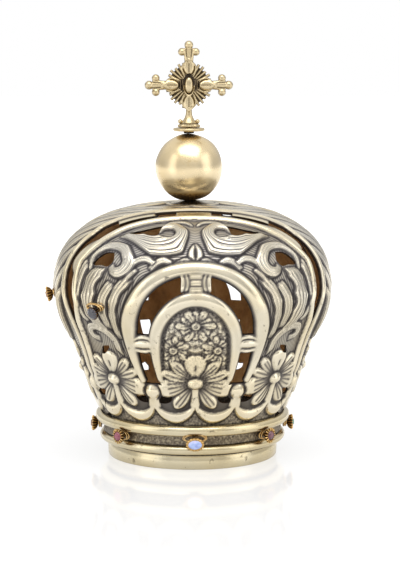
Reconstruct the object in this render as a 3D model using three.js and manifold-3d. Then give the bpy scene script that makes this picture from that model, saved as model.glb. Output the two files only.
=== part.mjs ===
// Imperial crown for a statue: an embossed and pierced dome on a moulded band, with orb, cross and stones.
// Millimetres, +Z up. Azimuth 0 faces -Y, the front, and grows towards +X.
// A place on the dome is [azimuth in degrees, rise], and rise is the way up the wall from its foot.
import * as THREE from 'three';
import { mergeVertices } from 'three/addons/utils/BufferGeometryUtils.js';
import Module from 'manifold-3d';

const wasm = await Module();
wasm.setup();

// Driving dimensions
const SHEET = 1.3;
const SEAT_GAP = 0.3;
const ROOT_DEPTH = 0.7;
const STRAP_TOP_SHARE = 0.65;
const PIERCING = { inward: 5.3, outward: 7 };
const FAR = 100;
const DOME_SIDES = 24;
const DOME_ROWS = 9;
const BAND_SIDES = 26;
const FLOWER_COUNT = 8;
const BAND_TOP = 22.3;
const BEAD_TOP = 23.6;
const CHANNEL_RADIUS = 47;
const CHANNEL_HEIGHT = 15.8;
const ORB_RADIUS = 17.5;
const ORB_ASIDE = -1.8;
const CROSS_RISE = 21.8;
const CROSS_REACH = 22.6;

// Meridian of the dome's outer face, from the foot to the apex
const DOME_STATIONS = [
  { name: 'foot', radius: 48, height: BAND_TOP + SEAT_GAP },
  { name: 'scallops', radius: 49.4, height: 28 },
  { name: 'flowers', radius: 54, height: 38 },
  { name: 'waist', radius: 57.6, height: 48.5 },
  { name: 'flare', radius: 62.6, height: 64 },
  { name: 'swell', radius: 69.4, height: 79 },
  { name: 'belly', radius: 72, height: 91 },
  { name: 'shoulder', radius: 68.2, height: 106.5 },
  { name: 'turn', radius: 57.5, height: 119 },
  { name: 'crest', radius: 38, height: 128.2 },
  { name: 'apex', radius: 0, height: 133.7 },
];

// Distance of each piece's edge from the plane through both ears; the back panel fits the side arch closely
const EDGES = [
  { height: 20, front: 22.3, arch: 21.9, back: 22.3 },
  { height: 38, front: 25.4, arch: 25, back: 25.4 },
  { height: 48, front: 27, arch: 26, back: 27 },
  { height: 64, front: 29.5, arch: 28.1, back: 29.5 },
  { height: 76, front: 34, arch: 32.4, back: 33.6 },
  { height: 86, front: 38.6, arch: 33.4, back: 34.4 },
  { height: 110, front: 37.6, arch: 31, back: 32 },
  { height: 118, front: 37.3, arch: 30, back: 31 },
  { height: 140, front: 37.3, arch: 30, back: 31 },
];
const RIM = { width: 5.2, height: 1.3, foot: 46 };
const TOP_TAB = { halfWidth: 9, height: 1.1 };

// Horseshoe arches on a panel, measured along the wall
const ARCHES = {
  outer: { span: 34.2, springing: 58, crown: 30.7, footSpan: 26.5, foot: 29, top: 3.4, side: 4.4, end: 1.9 },
  inner: { span: 20.3, springing: 50, crown: 23.1, footSpan: 17.3, foot: 31, top: 3.8, side: 3.2, end: 1.9 },
};
const ARCH_HEIGHT = 1.7;
const ARCH_STEPS = 10;
const SPRINGING_SHARE = 0.62;
const KEYSTONE = { halfLength: 7.4, rise: 81.2, halfWidth: 4 };
const SIDE_TIE = { across: 26.4, from: 42.5, to: 53.5, halfWidth: 3.2 };
const SLOT = { foot: 25.5, samples: 41, keepEvery: 8 };

// Gallery of scallops, flowers and bosses
const SCALLOP = { lowRise: 6.4, depth: 6.4, halfWidth: 3.2, height: 1.3, steps: 3 };
const FLOWER = { rise: 26.2, bossRadius: 4.2, bossHeight: 2.6, petalHeight: 1.7, valley: 6 };
const PETALS = [
  { name: 'top', turn: 0, corners: [[16, 0]] },
  { name: 'upper right', turn: 44, corners: [[13, 0]] },
  { name: 'right', turn: 88, corners: [[16, 0]] },
  { name: 'lower right', turn: 137, corners: [[13.5, 0]] },
  { name: 'stem', turn: 180, corners: [[14.6, 0]] },
  { name: 'lower left', turn: 223, corners: [[13.5, 0]] },
  { name: 'left', turn: 272, corners: [[16, 0]] },
  { name: 'upper left', turn: 316, corners: [[13, 0]] },
];
const BOSS = { rise: 20.8, radius: 3.5, height: 2.2, stemHalfWidth: 2.2 };
const BOSS_TURNS = [-30, 30, 90, 150, 210];
const CUSP_RISE = 11.4;
const SCALLOP_OPENING = { edge: 0.3, lowShares: [-0.7, 0, 0.7], high: [[0.64, 15.8], [0, 14.4], [-0.64, 15.8]] };

// Leaf scrolls and pierced openings on the right half of a panel, as places on the dome
const LEAF_HEIGHT = 1.4;
const LEAF_TIP_SHARE = 0.6;
const SCROLLS = [
  {
    name: 'top scroll', halfWidth: 3,
    path: [[18, 113.5], [8, 114.5], [4.5, 104], [13, 96.5], [26, 100.5], [39, 105.5]],
  },
  {
    name: 'shoulder scroll', halfWidth: 2.4,
    path: [[50, 87], [47.5, 97], [36, 100.4], [28, 93], [30.5, 86], [36.4, 87]],
  },
  {
    name: 'side leaf', halfWidth: 2.4,
    path: [[41.5, 84], [48, 72], [46.5, 60.5], [39.5, 53.5]],
  },
];
const OPENINGS = [
  {
    name: 'above the top scroll',
    outline: [[19.3, 116.8], [27, 114], [37, 109.6], [28, 109.2], [20, 109.3]],
  },
  {
    name: 'shoulder',
    outline: [[38.4, 96], [43.2, 95.4], [46.9, 91.6], [47.4, 88], [43.3, 88.6], [39.4, 88], [37.3, 91.3]],
  },
  {
    name: 'above the side flower',
    outline: [[43.2, 44.6], [48, 43.6], [48.6, 40.6], [45.3, 41]],
  },
];
const ROSETTES = [
  { across: 0, rise: 59.4, radius: 6.6 },
  { across: -11, rise: 44.9, radius: 5.2 },
  { across: 11, rise: 44.9, radius: 5.2 },
];
const ROSETTE = { points: 4, waist: 0.6, height: 1.3 };

// Moulded band, as a section from the inside bottom corner outwards and up; the dome stands behind the upper bead
const BAND_SECTION = [
  { radius: 42.8, height: 0 }, { radius: 44.5, height: 0 }, { radius: 44.8, height: 3.6 },
  { radius: 44.5, height: 7.6 }, { radius: 47.2, height: 8 }, { radius: 49, height: 9.4 },
  { radius: 49, height: 11.6 }, { radius: CHANNEL_RADIUS, height: 13 },
  { radius: CHANNEL_RADIUS, height: 17.9 }, { radius: 49.6, height: 18.2 }, { radius: 51.4, height: 19.8 },
  { radius: 51.4, height: 22.2 }, { radius: 50, height: BEAD_TOP }, { radius: 48.9, height: BEAD_TOP },
  { radius: 48.9, height: BAND_TOP }, { radius: 46, height: BAND_TOP }, { radius: 44.6, height: 12 },
];

// Clawed stones on pins: on the band by azimuth, and two on the dome by rise
const STONES = [
  { name: 'front', azimuth: 0, cut: 'oval', color: '#b9c4d6' },
  { name: 'front_left', azimuth: -47.8, cut: 'round', color: '#8e2330' },
  { name: 'left', azimuth: -90, cut: 'round', color: '#6b3b1a' },
  { name: 'back_left', azimuth: -135, cut: 'round', color: '#8e2330' },
  { name: 'back', azimuth: 180, cut: 'round', color: '#4a1a20' },
  { name: 'back_right', azimuth: 135, cut: 'round', color: '#8e2330' },
  { name: 'right', azimuth: 90, cut: 'round', color: '#2e6b4a' },
  { name: 'front_right', azimuth: 47.8, cut: 'round', color: '#4a1a20' },
  { name: 'arch_left', azimuth: -88, rise: 68, lift: 0, cut: 'round', color: '#6b3b1a' },
  { name: 'panel_left', azimuth: -42.9, rise: 65.5, lift: 0, cut: 'round', color: '#3c4257' },
];
const COLLET = {
  sides: 8, pinRadius: 0.9, pinLength: 3, lip: 3.1, seat: 2.45, depth: 2.9, floor: 1.4, floorShare: 0.8,
};
const STONE = {
  sides: 8, girdle: 2.3, girdleFrom: 0.2, girdleTo: 0.5, table: 1.35, crown: 1, keel: 1, culet: 1,
};
const CABOCHON = { sides: 12, width: 8, height: 6, girdle: 0.4, crown: 1.7, angles: [0, 30, 55, 75] };

// Small helpers
const { degToRad, radToDeg, lerp, clamp } = THREE.MathUtils;

function closedGeometry(positions, triangles) {
  const geometry = new THREE.BufferGeometry();
  geometry.setAttribute('position', new THREE.Float32BufferAttribute(positions, 3));
  geometry.setIndex(triangles);
  return geometry;
}

function signedVolume(vertices, triangles) {
  const [a, b, c] = [new THREE.Vector3(), new THREE.Vector3(), new THREE.Vector3()];
  let volume = 0;
  for (let i = 0; i < triangles.length; i += 3) {
    a.fromArray(vertices, triangles[i] * 3);
    b.fromArray(vertices, triangles[i + 1] * 3);
    c.fromArray(vertices, triangles[i + 2] * 3);
    volume += a.dot(b.cross(c)) / 6;
  }
  return volume;
}

// A closed geometry as a solid with its faces pointing out
function solidOf(source) {
  const bare = source.clone();
  bare.deleteAttribute('normal');
  bare.deleteAttribute('uv');
  const merged = mergeVertices(bare, 1e-4);
  const vertices = merged.getAttribute('position').array;
  const index = merged.getIndex().array;
  const triangles = [];
  for (let i = 0; i < index.length; i += 3) {
    const [a, b, c] = [index[i], index[i + 1], index[i + 2]];
    if (a !== b && b !== c && c !== a) triangles.push(a, b, c);
  }
  if (signedVolume(vertices, triangles) < 0) triangles.reverse();
  const mesh = new wasm.Mesh({
    numProp: 3,
    vertProperties: new Float32Array(vertices),
    triVerts: new Uint32Array(triangles),
  });
  return new wasm.Manifold(mesh);
}

function geometryOf(solid) {
  const mesh = solid.getMesh();
  return closedGeometry(Array.from(mesh.vertProperties), Array.from(mesh.triVerts));
}

function joined(solids) {
  return solids.reduce((whole, piece) => whole.add(piece));
}

// A body of revolution about +Z from {radius, height} rows
function lathe(rows, sides) {
  const points = rows.map(({ radius, height }) => new THREE.Vector2(radius, height));
  return new THREE.LatheGeometry(points, sides).rotateX(Math.PI / 2);
}

// The dome's wall
const meridian = new THREE.SplineCurve(
  DOME_STATIONS.map(({ radius, height }) => new THREE.Vector2(radius, height)),
);
meridian.arcLengthDivisions = 600;
const MERIDIAN_LENGTH = meridian.getLength();
const ROW_RISE = MERIDIAN_LENGTH / DOME_ROWS;
const meridianRows = meridian.getSpacedPoints(DOME_ROWS);

// The faceted wall at a rise: straight between its rows, with the smooth meridian's normal
function wallAt(rise) {
  const share = clamp(rise / MERIDIAN_LENGTH, 0, 1);
  const row = Math.min(Math.floor(share * DOME_ROWS), DOME_ROWS - 1);
  const point = meridianRows[row].clone().lerp(meridianRows[row + 1], share * DOME_ROWS - row);
  const tangent = meridian.getTangentAt(share);
  return { radius: point.x, height: point.y, outward: tangent.y, upward: -tangent.x };
}

// How far a facet lies inside the round of the wall at an azimuth
function facetShare(azimuth) {
  const width = 360 / DOME_SIDES;
  const fromMiddle = THREE.MathUtils.euclideanModulo(azimuth, width) - width / 2;
  return Math.cos(degToRad(width / 2)) / Math.cos(degToRad(fromMiddle));
}

function onDome([azimuth, rise], lift = 0) {
  const wall = wallAt(rise);
  const radius = wall.radius * facetShare(azimuth) + lift * wall.outward;
  const angle = degToRad(azimuth);
  return new THREE.Vector3(
    radius * Math.sin(angle), -radius * Math.cos(angle), wall.height + lift * wall.upward,
  );
}

// A place given by its distance across from a meridian and its rise
function beside(azimuth, across, rise) {
  return [azimuth + radToDeg(across / wallAt(rise).radius), rise];
}

function turned(place, azimuth) {
  return [place[0] + azimuth, place[1]];
}

function mirrored(path) {
  return path.map(([azimuth, rise]) => [-azimuth, rise]);
}

// The rise on the upper half of the dome at which its radius is the given one
function riseAtRadius(radius) {
  let low = MERIDIAN_LENGTH / 2;
  let high = MERIDIAN_LENGTH;
  for (let i = 0; i < 40; i += 1) {
    const middle = (low + high) / 2;
    if (wallAt(middle).radius > radius) low = middle;
    else high = middle;
  }
  return low;
}

// The dome's sheet, or a thicker one whose outer face lies further out
function domeShell(raised = 0) {
  const outer = [];
  const inner = [];
  for (let i = 0; i <= DOME_ROWS; i += 1) {
    const wall = wallAt(ROW_RISE * i);
    const atApex = i === DOME_ROWS;
    outer.push({
      radius: atApex ? 0 : wall.radius + raised * wall.outward,
      height: wall.height + raised * wall.upward,
    });
    inner.push({
      radius: atApex ? 0 : wall.radius - SHEET * wall.outward,
      height: wall.height - SHEET * wall.upward,
    });
  }
  return solidOf(lathe([...inner.reverse(), ...outer], DOME_SIDES));
}

// Raised and pierced work on the wall

// A strip along a path of places; section(share) gives its [across, lift] corners in order
function ribbon(path, section, closed = false) {
  const positions = [];
  const triangles = [];
  const count = path.length;
  const spots = path.map((place) => onDome(place));
  const corners = section(0).length;
  path.forEach((place, i) => {
    const normal = onDome(place, 1).sub(spots[i]).normalize();
    const before = spots[closed ? (i + count - 1) % count : Math.max(i - 1, 0)];
    const after = spots[closed ? (i + 1) % count : Math.min(i + 1, count - 1)];
    const sideways = after.clone().sub(before).cross(normal).normalize();
    for (const [across, lift] of section(i / (count - 1))) {
      const corner = spots[i].clone().addScaledVector(sideways, across).addScaledVector(normal, lift);
      positions.push(...corner.toArray());
    }
  });
  const spans = closed ? count : count - 1;
  for (let i = 0; i < spans; i += 1) {
    const ahead = ((i + 1) % count) * corners;
    for (let k = 0; k < corners; k += 1) {
      const next = (k + 1) % corners;
      triangles.push(i * corners + k, i * corners + next, ahead + next);
      triangles.push(i * corners + k, ahead + next, ahead + k);
    }
  }
  const last = (count - 1) * corners;
  for (let k = 1; k < corners - 1 && !closed; k += 1) {
    triangles.push(0, k + 1, k, last, last + k, last + k + 1);
  }
  return solidOf(closedGeometry(positions, triangles));
}

function flatBand(halfWidth, height) {
  const top = STRAP_TOP_SHARE * halfWidth;
  return [[-halfWidth, -ROOT_DEPTH], [halfWidth, -ROOT_DEPTH], [top, height], [-top, height]];
}

function ridge(halfWidth, height) {
  return [[-halfWidth, -ROOT_DEPTH], [halfWidth, -ROOT_DEPTH], [0, height]];
}

function flattened(outline) {
  return outline.map(([azimuth, rise]) => new THREE.Vector2(azimuth, rise));
}

// Rings of places at given lifts, closed by a flat floor and by a single top place
function stacked(rings, top) {
  const positions = [];
  const triangles = [];
  const count = rings[0].outline.length;
  for (const { outline, lift } of rings) {
    for (const place of outline) positions.push(...onDome(place, lift).toArray());
  }
  for (let level = 0; level < rings.length - 1; level += 1) {
    for (let k = 0; k < count; k += 1) {
      const [a, b] = [level * count + k, level * count + ((k + 1) % count)];
      triangles.push(a, b, b + count, a, b + count, a + count);
    }
  }
  const upper = (rings.length - 1) * count;
  const tip = rings.length * count;
  positions.push(...onDome(top.place, top.lift).toArray());
  for (let k = 0; k < count; k += 1) triangles.push(upper + k, upper + ((k + 1) % count), tip);
  const faces = THREE.ShapeUtils.triangulateShape(flattened(rings[0].outline), []);
  for (const [a, b, c] of faces) triangles.push(c, b, a);
  return solidOf(closedGeometry(positions, triangles));
}

function pad(outline, centre, height) {
  const rings = [{ outline, lift: -ROOT_DEPTH }, { outline, lift: 0.5 * height }];
  return stacked(counterClockwise(rings), { place: centre, lift: height });
}

function counterClockwise(rings) {
  if (THREE.ShapeUtils.area(flattened(rings[0].outline)) > 0) return rings;
  return rings.map(({ outline, lift }) => ({ outline: [...outline].reverse(), lift }));
}

// A cutter that goes right through the wall inside an outline of places
function piercing(outline) {
  const lifts = [-PIERCING.inward, PIERCING.outward];
  const rings = counterClockwise(lifts.map((lift) => ({ outline, lift })));
  const ordered = rings[0].outline;
  const count = ordered.length;
  const positions = lifts.flatMap((lift) => ordered.flatMap((place) => onDome(place, lift).toArray()));
  const triangles = [];
  for (let k = 0; k < count; k += 1) {
    const next = (k + 1) % count;
    triangles.push(k, next, next + count, k, next + count, k + count);
  }
  const faces = THREE.ShapeUtils.triangulateShape(flattened(ordered), []);
  for (const [a, b, c] of faces) triangles.push(c, b, a, a + count, b + count, c + count);
  return solidOf(closedGeometry(positions, triangles));
}

// Arches of a panel

function archPoint(arch, share) {
  const side = Math.sign(share);
  const way = Math.abs(share);
  if (way <= SPRINGING_SHARE) {
    const angle = ((way / SPRINGING_SHARE) * Math.PI) / 2;
    const rise = arch.springing + arch.crown * Math.cos(angle);
    return { across: side * arch.span * Math.sin(angle), rise };
  }
  const down = (way - SPRINGING_SHARE) / (1 - SPRINGING_SHARE);
  return {
    across: side * (arch.span - (arch.span - arch.footSpan) * down * down),
    rise: lerp(arch.springing, arch.foot, down),
  };
}

function archHalfWidth(arch, share) {
  const way = Math.abs(share);
  if (way <= SPRINGING_SHARE) return lerp(arch.top, arch.side, way / SPRINGING_SHARE);
  return lerp(arch.side, arch.end, (way - SPRINGING_SHARE) / (1 - SPRINGING_SHARE));
}

// The edge of an arch's moulding, outwards for direction 1 and inwards for -1
function archEdge(arch, share, direction) {
  const step = 0.01;
  const here = archPoint(arch, share);
  const ahead = archPoint(arch, share + step);
  const along = new THREE.Vector2(ahead.across - here.across, ahead.rise - here.rise).normalize();
  const offset = direction * archHalfWidth(arch, share);
  return { across: here.across - along.y * offset, rise: here.rise + along.x * offset };
}

function archBand(arch, azimuth) {
  const path = [];
  for (let i = 0; i <= ARCH_STEPS; i += 1) {
    const { across, rise } = archPoint(arch, (2 * i) / ARCH_STEPS - 1);
    path.push(beside(azimuth, across, rise));
  }
  return ribbon(path, (share) => flatBand(archHalfWidth(arch, 2 * share - 1), ARCH_HEIGHT));
}

// The open slots between the two arches, on one side of a panel
function archSlots(azimuth, side) {
  const shares = Array.from({ length: SLOT.samples }, (_, i) => (side * i) / SLOT.samples);
  const upper = ({ across, rise }) => Math.abs(across) > KEYSTONE.halfLength && rise > SIDE_TIE.to;
  const lower = ({ rise }) => rise < SIDE_TIE.from && rise > SLOT.foot;
  const thinned = (points) => points.filter((_, i) => i % SLOT.keepEvery === 0 || i === points.length - 1);
  return [upper, lower].map((inside) => {
    const outside = thinned(shares.map((share) => archEdge(ARCHES.outer, share, -1)).filter(inside));
    const within = thinned(shares.map((share) => archEdge(ARCHES.inner, share, 1)).filter(inside));
    const outline = [...outside, ...within.reverse()];
    return piercing(outline.map(({ across, rise }) => beside(azimuth, across, rise)));
  });
}

function archTies(azimuth) {
  const section = (halfWidth) => () => flatBand(halfWidth, ARCH_HEIGHT);
  const keystone = [-1, 0, 1].map((way) => beside(azimuth, way * KEYSTONE.halfLength, KEYSTONE.rise));
  const ties = [-1, 1].map((side) => {
    const path = [SIDE_TIE.from, SIDE_TIE.to].map((rise) => beside(azimuth, side * SIDE_TIE.across, rise));
    return ribbon(path, section(SIDE_TIE.halfWidth));
  });
  return [ribbon(keystone, section(KEYSTONE.halfWidth)), ...ties];
}

function rosette(azimuth, { across, rise, radius }) {
  const outline = Array.from({ length: 2 * ROSETTE.points }, (_, k) => {
    const angle = (k / ROSETTE.points) * Math.PI;
    const size = radius * (k % 2 === 0 ? 1 : ROSETTE.waist);
    return beside(azimuth, across + size * Math.cos(angle), rise + size * Math.sin(angle));
  });
  return pad(outline, beside(azimuth, across, rise), ROSETTE.height);
}

// Gallery pieces

function scallopRise(share) {
  return SCALLOP.lowRise + SCALLOP.depth * (1 - Math.sqrt(1 - share * share));
}

// The plain band of scallops as one closed strip round the foot of the dome
function scallopBand() {
  const half = 180 / (2 * FLOWER_COUNT);
  const path = [];
  for (let start = 0; start < 360; start += 2 * half) {
    for (let i = 0; i < SCALLOP.steps; i += 1) {
      const share = -Math.cos((i / SCALLOP.steps) * Math.PI);
      path.push([start + half * (1 + share), scallopRise(share)]);
    }
  }
  return ribbon(path, () => flatBand(SCALLOP.halfWidth, SCALLOP.height), true);
}

function scallopOpening(start) {
  const half = 180 / (2 * FLOWER_COUNT);
  const edge = SCALLOP.halfWidth + SCALLOP_OPENING.edge;
  const low = SCALLOP_OPENING.lowShares.map((share) => [share, scallopRise(share) + edge]);
  const outline = [...low, ...SCALLOP_OPENING.high];
  return piercing(outline.map(([share, rise]) => [start + half * (1 + share), rise]));
}

// A flower as one star-shaped pad, with the corners of each petal, a valley after it and a raised boss
function flower(azimuth) {
  const place = (reach, turn) => {
    const angle = degToRad(turn);
    return beside(azimuth, reach * Math.sin(angle), FLOWER.rise + reach * Math.cos(angle));
  };
  const polar = PETALS.flatMap(({ turn, corners }, i) => {
    const nextTurn = i + 1 < PETALS.length ? PETALS[i + 1].turn : 360;
    const tips = corners.map(([reach, aside]) => [reach, turn + aside]);
    return [...tips, [FLOWER.valley, (turn + nextTurn) / 2]];
  });
  const outline = polar.map(([reach, turn]) => place(reach, turn));
  const boss = polar.map(([, turn]) => place(FLOWER.bossRadius, turn));
  const rings = [
    { outline, lift: -ROOT_DEPTH },
    { outline, lift: 0.5 * FLOWER.petalHeight },
    { outline: boss, lift: FLOWER.petalHeight },
  ];
  return stacked(counterClockwise(rings), { place: [azimuth, FLOWER.rise], lift: FLOWER.bossHeight });
}

// A round boss with the stem that joins it to the cusp between two scallops
function stemmedBoss(azimuth) {
  const { rise, radius, stemHalfWidth, height } = BOSS;
  const round = BOSS_TURNS.map((turn) => {
    const angle = degToRad(turn);
    return beside(azimuth, radius * Math.cos(angle), rise + radius * Math.sin(angle));
  });
  const stem = [-stemHalfWidth, stemHalfWidth].map((across) => beside(azimuth, across, CUSP_RISE));
  return pad([...round, ...stem], [azimuth, rise], height);
}

// Edges of the panels and of the side arch

function edgeAt(height, piece) {
  const upper = EDGES.findIndex((row) => row.height >= height);
  const [low, high] = [EDGES[Math.max(upper - 1, 0)], EDGES[upper]];
  if (low === high) return low[piece];
  return lerp(low[piece], high[piece], (height - low.height) / (high.height - low.height));
}

// The soldered tab that reaches from the top of a panel to the side arch
function topTab(piece, azimuth) {
  const top = EDGES[EDGES.length - 1];
  const from = riseAtRadius(top[piece] + RIM.width);
  const to = riseAtRadius(top.arch + SEAT_GAP);
  const path = [[azimuth, from], [azimuth, to]];
  const { halfWidth, height } = TOP_TAB;
  const corners = [[-halfWidth, -SHEET], [halfWidth, -SHEET], [halfWidth, height], [-halfWidth, height]];
  return ribbon(path, () => corners);
}

// Everything to one side of an edge, as a block that the dome is cut with
function blockAlongX(outline) {
  const shape = new THREE.Shape(outline.map(([away, height]) => new THREE.Vector2(away, height)));
  const geometry = new THREE.ExtrudeGeometry(shape, { depth: 2 * FAR, bevelEnabled: false, steps: 1 });
  geometry.translate(0, 0, -FAR);
  const axes = new THREE.Matrix4().makeBasis(
    new THREE.Vector3(0, 1, 0), new THREE.Vector3(0, 0, 1), new THREE.Vector3(1, 0, 0),
  );
  return solidOf(geometry.applyMatrix4(axes));
}

function panelBlock(piece, side) {
  const edge = EDGES.map((row) => [side * row[piece], row.height]);
  const far = side * FAR;
  return blockAlongX([...edge, [far, EDGES[EDGES.length - 1].height], [far, EDGES[0].height]]);
}

function archBlock() {
  const front = EDGES.map(({ height, arch }) => [-arch, height]);
  const back = EDGES.map(({ height, arch }) => [arch, height]).reverse();
  return blockAlongX([...front, ...back]);
}

// The strip along an edge that a raised rim takes up; inward is the sign of the way into the piece
function rimBlock(piece, side, inward) {
  const heights = [RIM.foot, ...EDGES.map(({ height }) => height).filter((height) => height > RIM.foot)];
  const edge = heights.map((height) => [side * edgeAt(height, piece), height]);
  const inside = heights.map((height) => [side * (edgeAt(height, piece) + inward * RIM.width), height]);
  return blockAlongX([...edge, ...inside.reverse()]);
}

function gallery() {
  const step = 360 / FLOWER_COUNT;
  const pieces = [];
  for (let i = 0; i < FLOWER_COUNT; i += 1) {
    pieces.push(flower(i * step), stemmedBoss((i + 0.5) * step));
  }
  return joined([...pieces, scallopBand()]);
}

function galleryOpenings() {
  const count = 2 * FLOWER_COUNT;
  return joined(Array.from({ length: count }, (_, i) => scallopOpening((i * 360) / count)));
}

function panelRelief(azimuth) {
  const pieces = [archBand(ARCHES.outer, azimuth), archBand(ARCHES.inner, azimuth), ...archTies(azimuth)];
  pieces.push(...ROSETTES.map((place) => rosette(azimuth, place)));
  for (const { path, halfWidth } of SCROLLS) {
    const taper = (share) => lerp(LEAF_TIP_SHARE, 1, Math.sin(share * Math.PI));
    const section = (share) => ridge(taper(share) * halfWidth, LEAF_HEIGHT);
    for (const side of [path, mirrored(path)]) {
      pieces.push(ribbon(side.map((place) => turned(place, azimuth)), section));
    }
  }
  return joined(pieces);
}

function panelOpenings(azimuth) {
  const cutters = [...archSlots(azimuth, -1), ...archSlots(azimuth, 1)];
  for (const { outline } of OPENINGS) {
    for (const side of [outline, mirrored(outline)]) {
      cutters.push(piercing(side.map((place) => turned(place, azimuth))));
    }
  }
  return joined(cutters);
}

// The dome, pierced and embossed all round, from which the panels and the side arch are cut
function embossedDome() {
  return domeShell()
    .subtract(galleryOpenings())
    .subtract(panelOpenings(0))
    .subtract(panelOpenings(180))
    .add(gallery())
    .add(panelRelief(0))
    .add(panelRelief(180));
}

function panel(dome, raisedShell, piece, side, azimuth) {
  const rim = raisedShell.intersect(rimBlock(piece, side, 1));
  return joined([dome.intersect(panelBlock(piece, side)), rim, topTab(piece, azimuth)]);
}

function sideArch(dome, raisedShell) {
  const rims = [-1, 1].map((side) => raisedShell.intersect(rimBlock('arch', side, -1)));
  return joined([dome.intersect(archBlock()), ...rims]);
}

// Band, orb and cross

function baseBand() {
  const rows = [...BAND_SECTION, BAND_SECTION[0]];
  return solidOf(lathe(rows, BAND_SIDES));
}

const ORB_BASE = DOME_STATIONS[DOME_STATIONS.length - 1].height + SEAT_GAP;
const ORB_TOP = ORB_BASE + 2 * ORB_RADIUS;
const ORB_FACETS = { sides: 16, rows: 10 };
const NECK = { radius: 2.6, height: 1.6, discRadius: 8.4, discThickness: 1.2, sides: 16 };
const CROSS_BASE = ORB_TOP + NECK.height + NECK.discThickness + 2 * SEAT_GAP;

function orb() {
  const ball = new THREE.SphereGeometry(ORB_RADIUS, ORB_FACETS.sides, ORB_FACETS.rows).rotateX(Math.PI / 2);
  return solidOf(ball.translate(0, 0, ORB_BASE + ORB_RADIUS));
}

function neckDisc() {
  const base = ORB_TOP + SEAT_GAP;
  const { radius, height, discRadius, discThickness, sides } = NECK;
  const discBase = base + height;
  const discTop = discBase + discThickness;
  return solidOf(lathe([
    { radius: 0, height: base }, { radius, height: base }, { radius, height: discBase },
    { radius: discRadius, height: discBase }, { radius: discRadius, height: discTop },
    { radius: 0, height: discTop },
  ], sides));
}

// A flat cast plate in the plane of the cross, from [across, up] points about its centre
function castPlate(points, thickness) {
  const shape = new THREE.Shape(points.map(([x, y]) => new THREE.Vector2(x, y)));
  const geometry = new THREE.ExtrudeGeometry(shape, { depth: thickness, bevelEnabled: false, steps: 1 });
  return geometry.translate(0, 0, -thickness / 2).rotateX(Math.PI / 2);
}

function ball(radius, x, z) {
  return new THREE.IcosahedronGeometry(radius, 0).translate(x, 0, z);
}

const CROSS_ARM = {
  stemHalf: 1.5, stemThickness: 2.4, leafFrom: 5, leafTo: 13, leafHalf: 3.1, leafThickness: 3.4,
  leafShoulder: 0.7, tipBall: 2.2, sideBallReach: 16.9, sideBallOff: 3.3,
};
const CROSS_STEM = { bury: 4, thickness: 2.6 };
const CROSS_BOSS = { halfWidth: 2.7, halfThickness: 2.4, halfHeight: 3.7, sides: 10, rows: 6 };
const SUNBURST = { rays: 12, tip: 12.6, valley: 8.4, thickness: 1.6 };
const CROSS_FOOT = [
  { radius: 0, height: 0 }, { radius: 5.4, height: 0 }, { radius: 5.4, height: 1.8 },
  { radius: 3.4, height: 3.6 }, { radius: 2, height: 5.8 }, { radius: 1.9, height: 8 },
  { radius: 0, height: 8 },
];
const CROSS_FOOT_SIDES = 8;

function crossArm(turn, withTrefoil) {
  const { stemHalf, stemThickness, leafFrom, leafTo, leafHalf, leafThickness, leafShoulder } = CROSS_ARM;
  const tip = CROSS_REACH - CROSS_ARM.tipBall;
  const bar = castPlate([[-stemHalf, 0], [stemHalf, 0], [stemHalf, tip], [-stemHalf, tip]], stemThickness);
  const [low, middle, high] = [0.25, 0.5, 0.75].map((share) => lerp(leafFrom, leafTo, share));
  const shoulder = leafShoulder * leafHalf;
  const leaf = castPlate([
    [0, leafFrom], [shoulder, low], [leafHalf, middle], [shoulder, high],
    [0, leafTo], [-shoulder, high], [-leafHalf, middle], [-shoulder, low],
  ], leafThickness);
  const pieces = [bar, leaf];
  if (withTrefoil) {
    pieces.push(ball(CROSS_ARM.tipBall, 0, tip));
    for (const side of [-1, 1]) {
      pieces.push(ball(CROSS_ARM.tipBall, side * CROSS_ARM.sideBallOff, CROSS_ARM.sideBallReach));
    }
  }
  return pieces.map((piece) => piece.rotateY(turn));
}

function sunburst() {
  const { rays, tip, valley, thickness } = SUNBURST;
  const points = Array.from({ length: 2 * rays }, (_, k) => {
    const angle = (k / rays) * Math.PI;
    const reach = k % 2 === 0 ? tip : valley;
    return [reach * Math.cos(angle), reach * Math.sin(angle)];
  });
  return castPlate(points, thickness);
}

function cross() {
  const foot = lathe(CROSS_FOOT, CROSS_FOOT_SIDES);
  const half = CROSS_ARM.stemHalf;
  const low = CROSS_STEM.bury - CROSS_RISE;
  const stem = castPlate([[-half, low], [half, low], [half, 0], [-half, 0]], CROSS_STEM.thickness);
  const { halfWidth, halfThickness, halfHeight, sides, rows } = CROSS_BOSS;
  const boss = new THREE.SphereGeometry(1, sides, rows).scale(halfWidth, halfThickness, halfHeight);
  const arms = [-Math.PI / 2, 0, Math.PI / 2].flatMap((turn) => crossArm(turn, true));
  const head = [sunburst(), stem, boss, ...crossArm(Math.PI, false), ...arms];
  const pieces = [foot, ...head.map((piece) => piece.translate(0, 0, CROSS_RISE))];
  return joined(pieces.map((piece) => solidOf(piece.translate(0, 0, CROSS_BASE))));
}

// Stones and their settings, made along +Z and set on the crown pointing outwards

function colletGeometry() {
  const { pinRadius, pinLength, lip, seat, depth, floor, floorShare, sides } = COLLET;
  const top = pinLength + depth;
  return lathe([
    { radius: 0, height: 0 }, { radius: pinRadius, height: 0 }, { radius: pinRadius, height: pinLength },
    { radius: lip, height: pinLength + 0.5 * depth }, { radius: lip, height: top },
    { radius: seat, height: top }, { radius: floorShare * seat, height: pinLength + floor },
    { radius: 0, height: pinLength + floor },
  ], sides);
}

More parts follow.
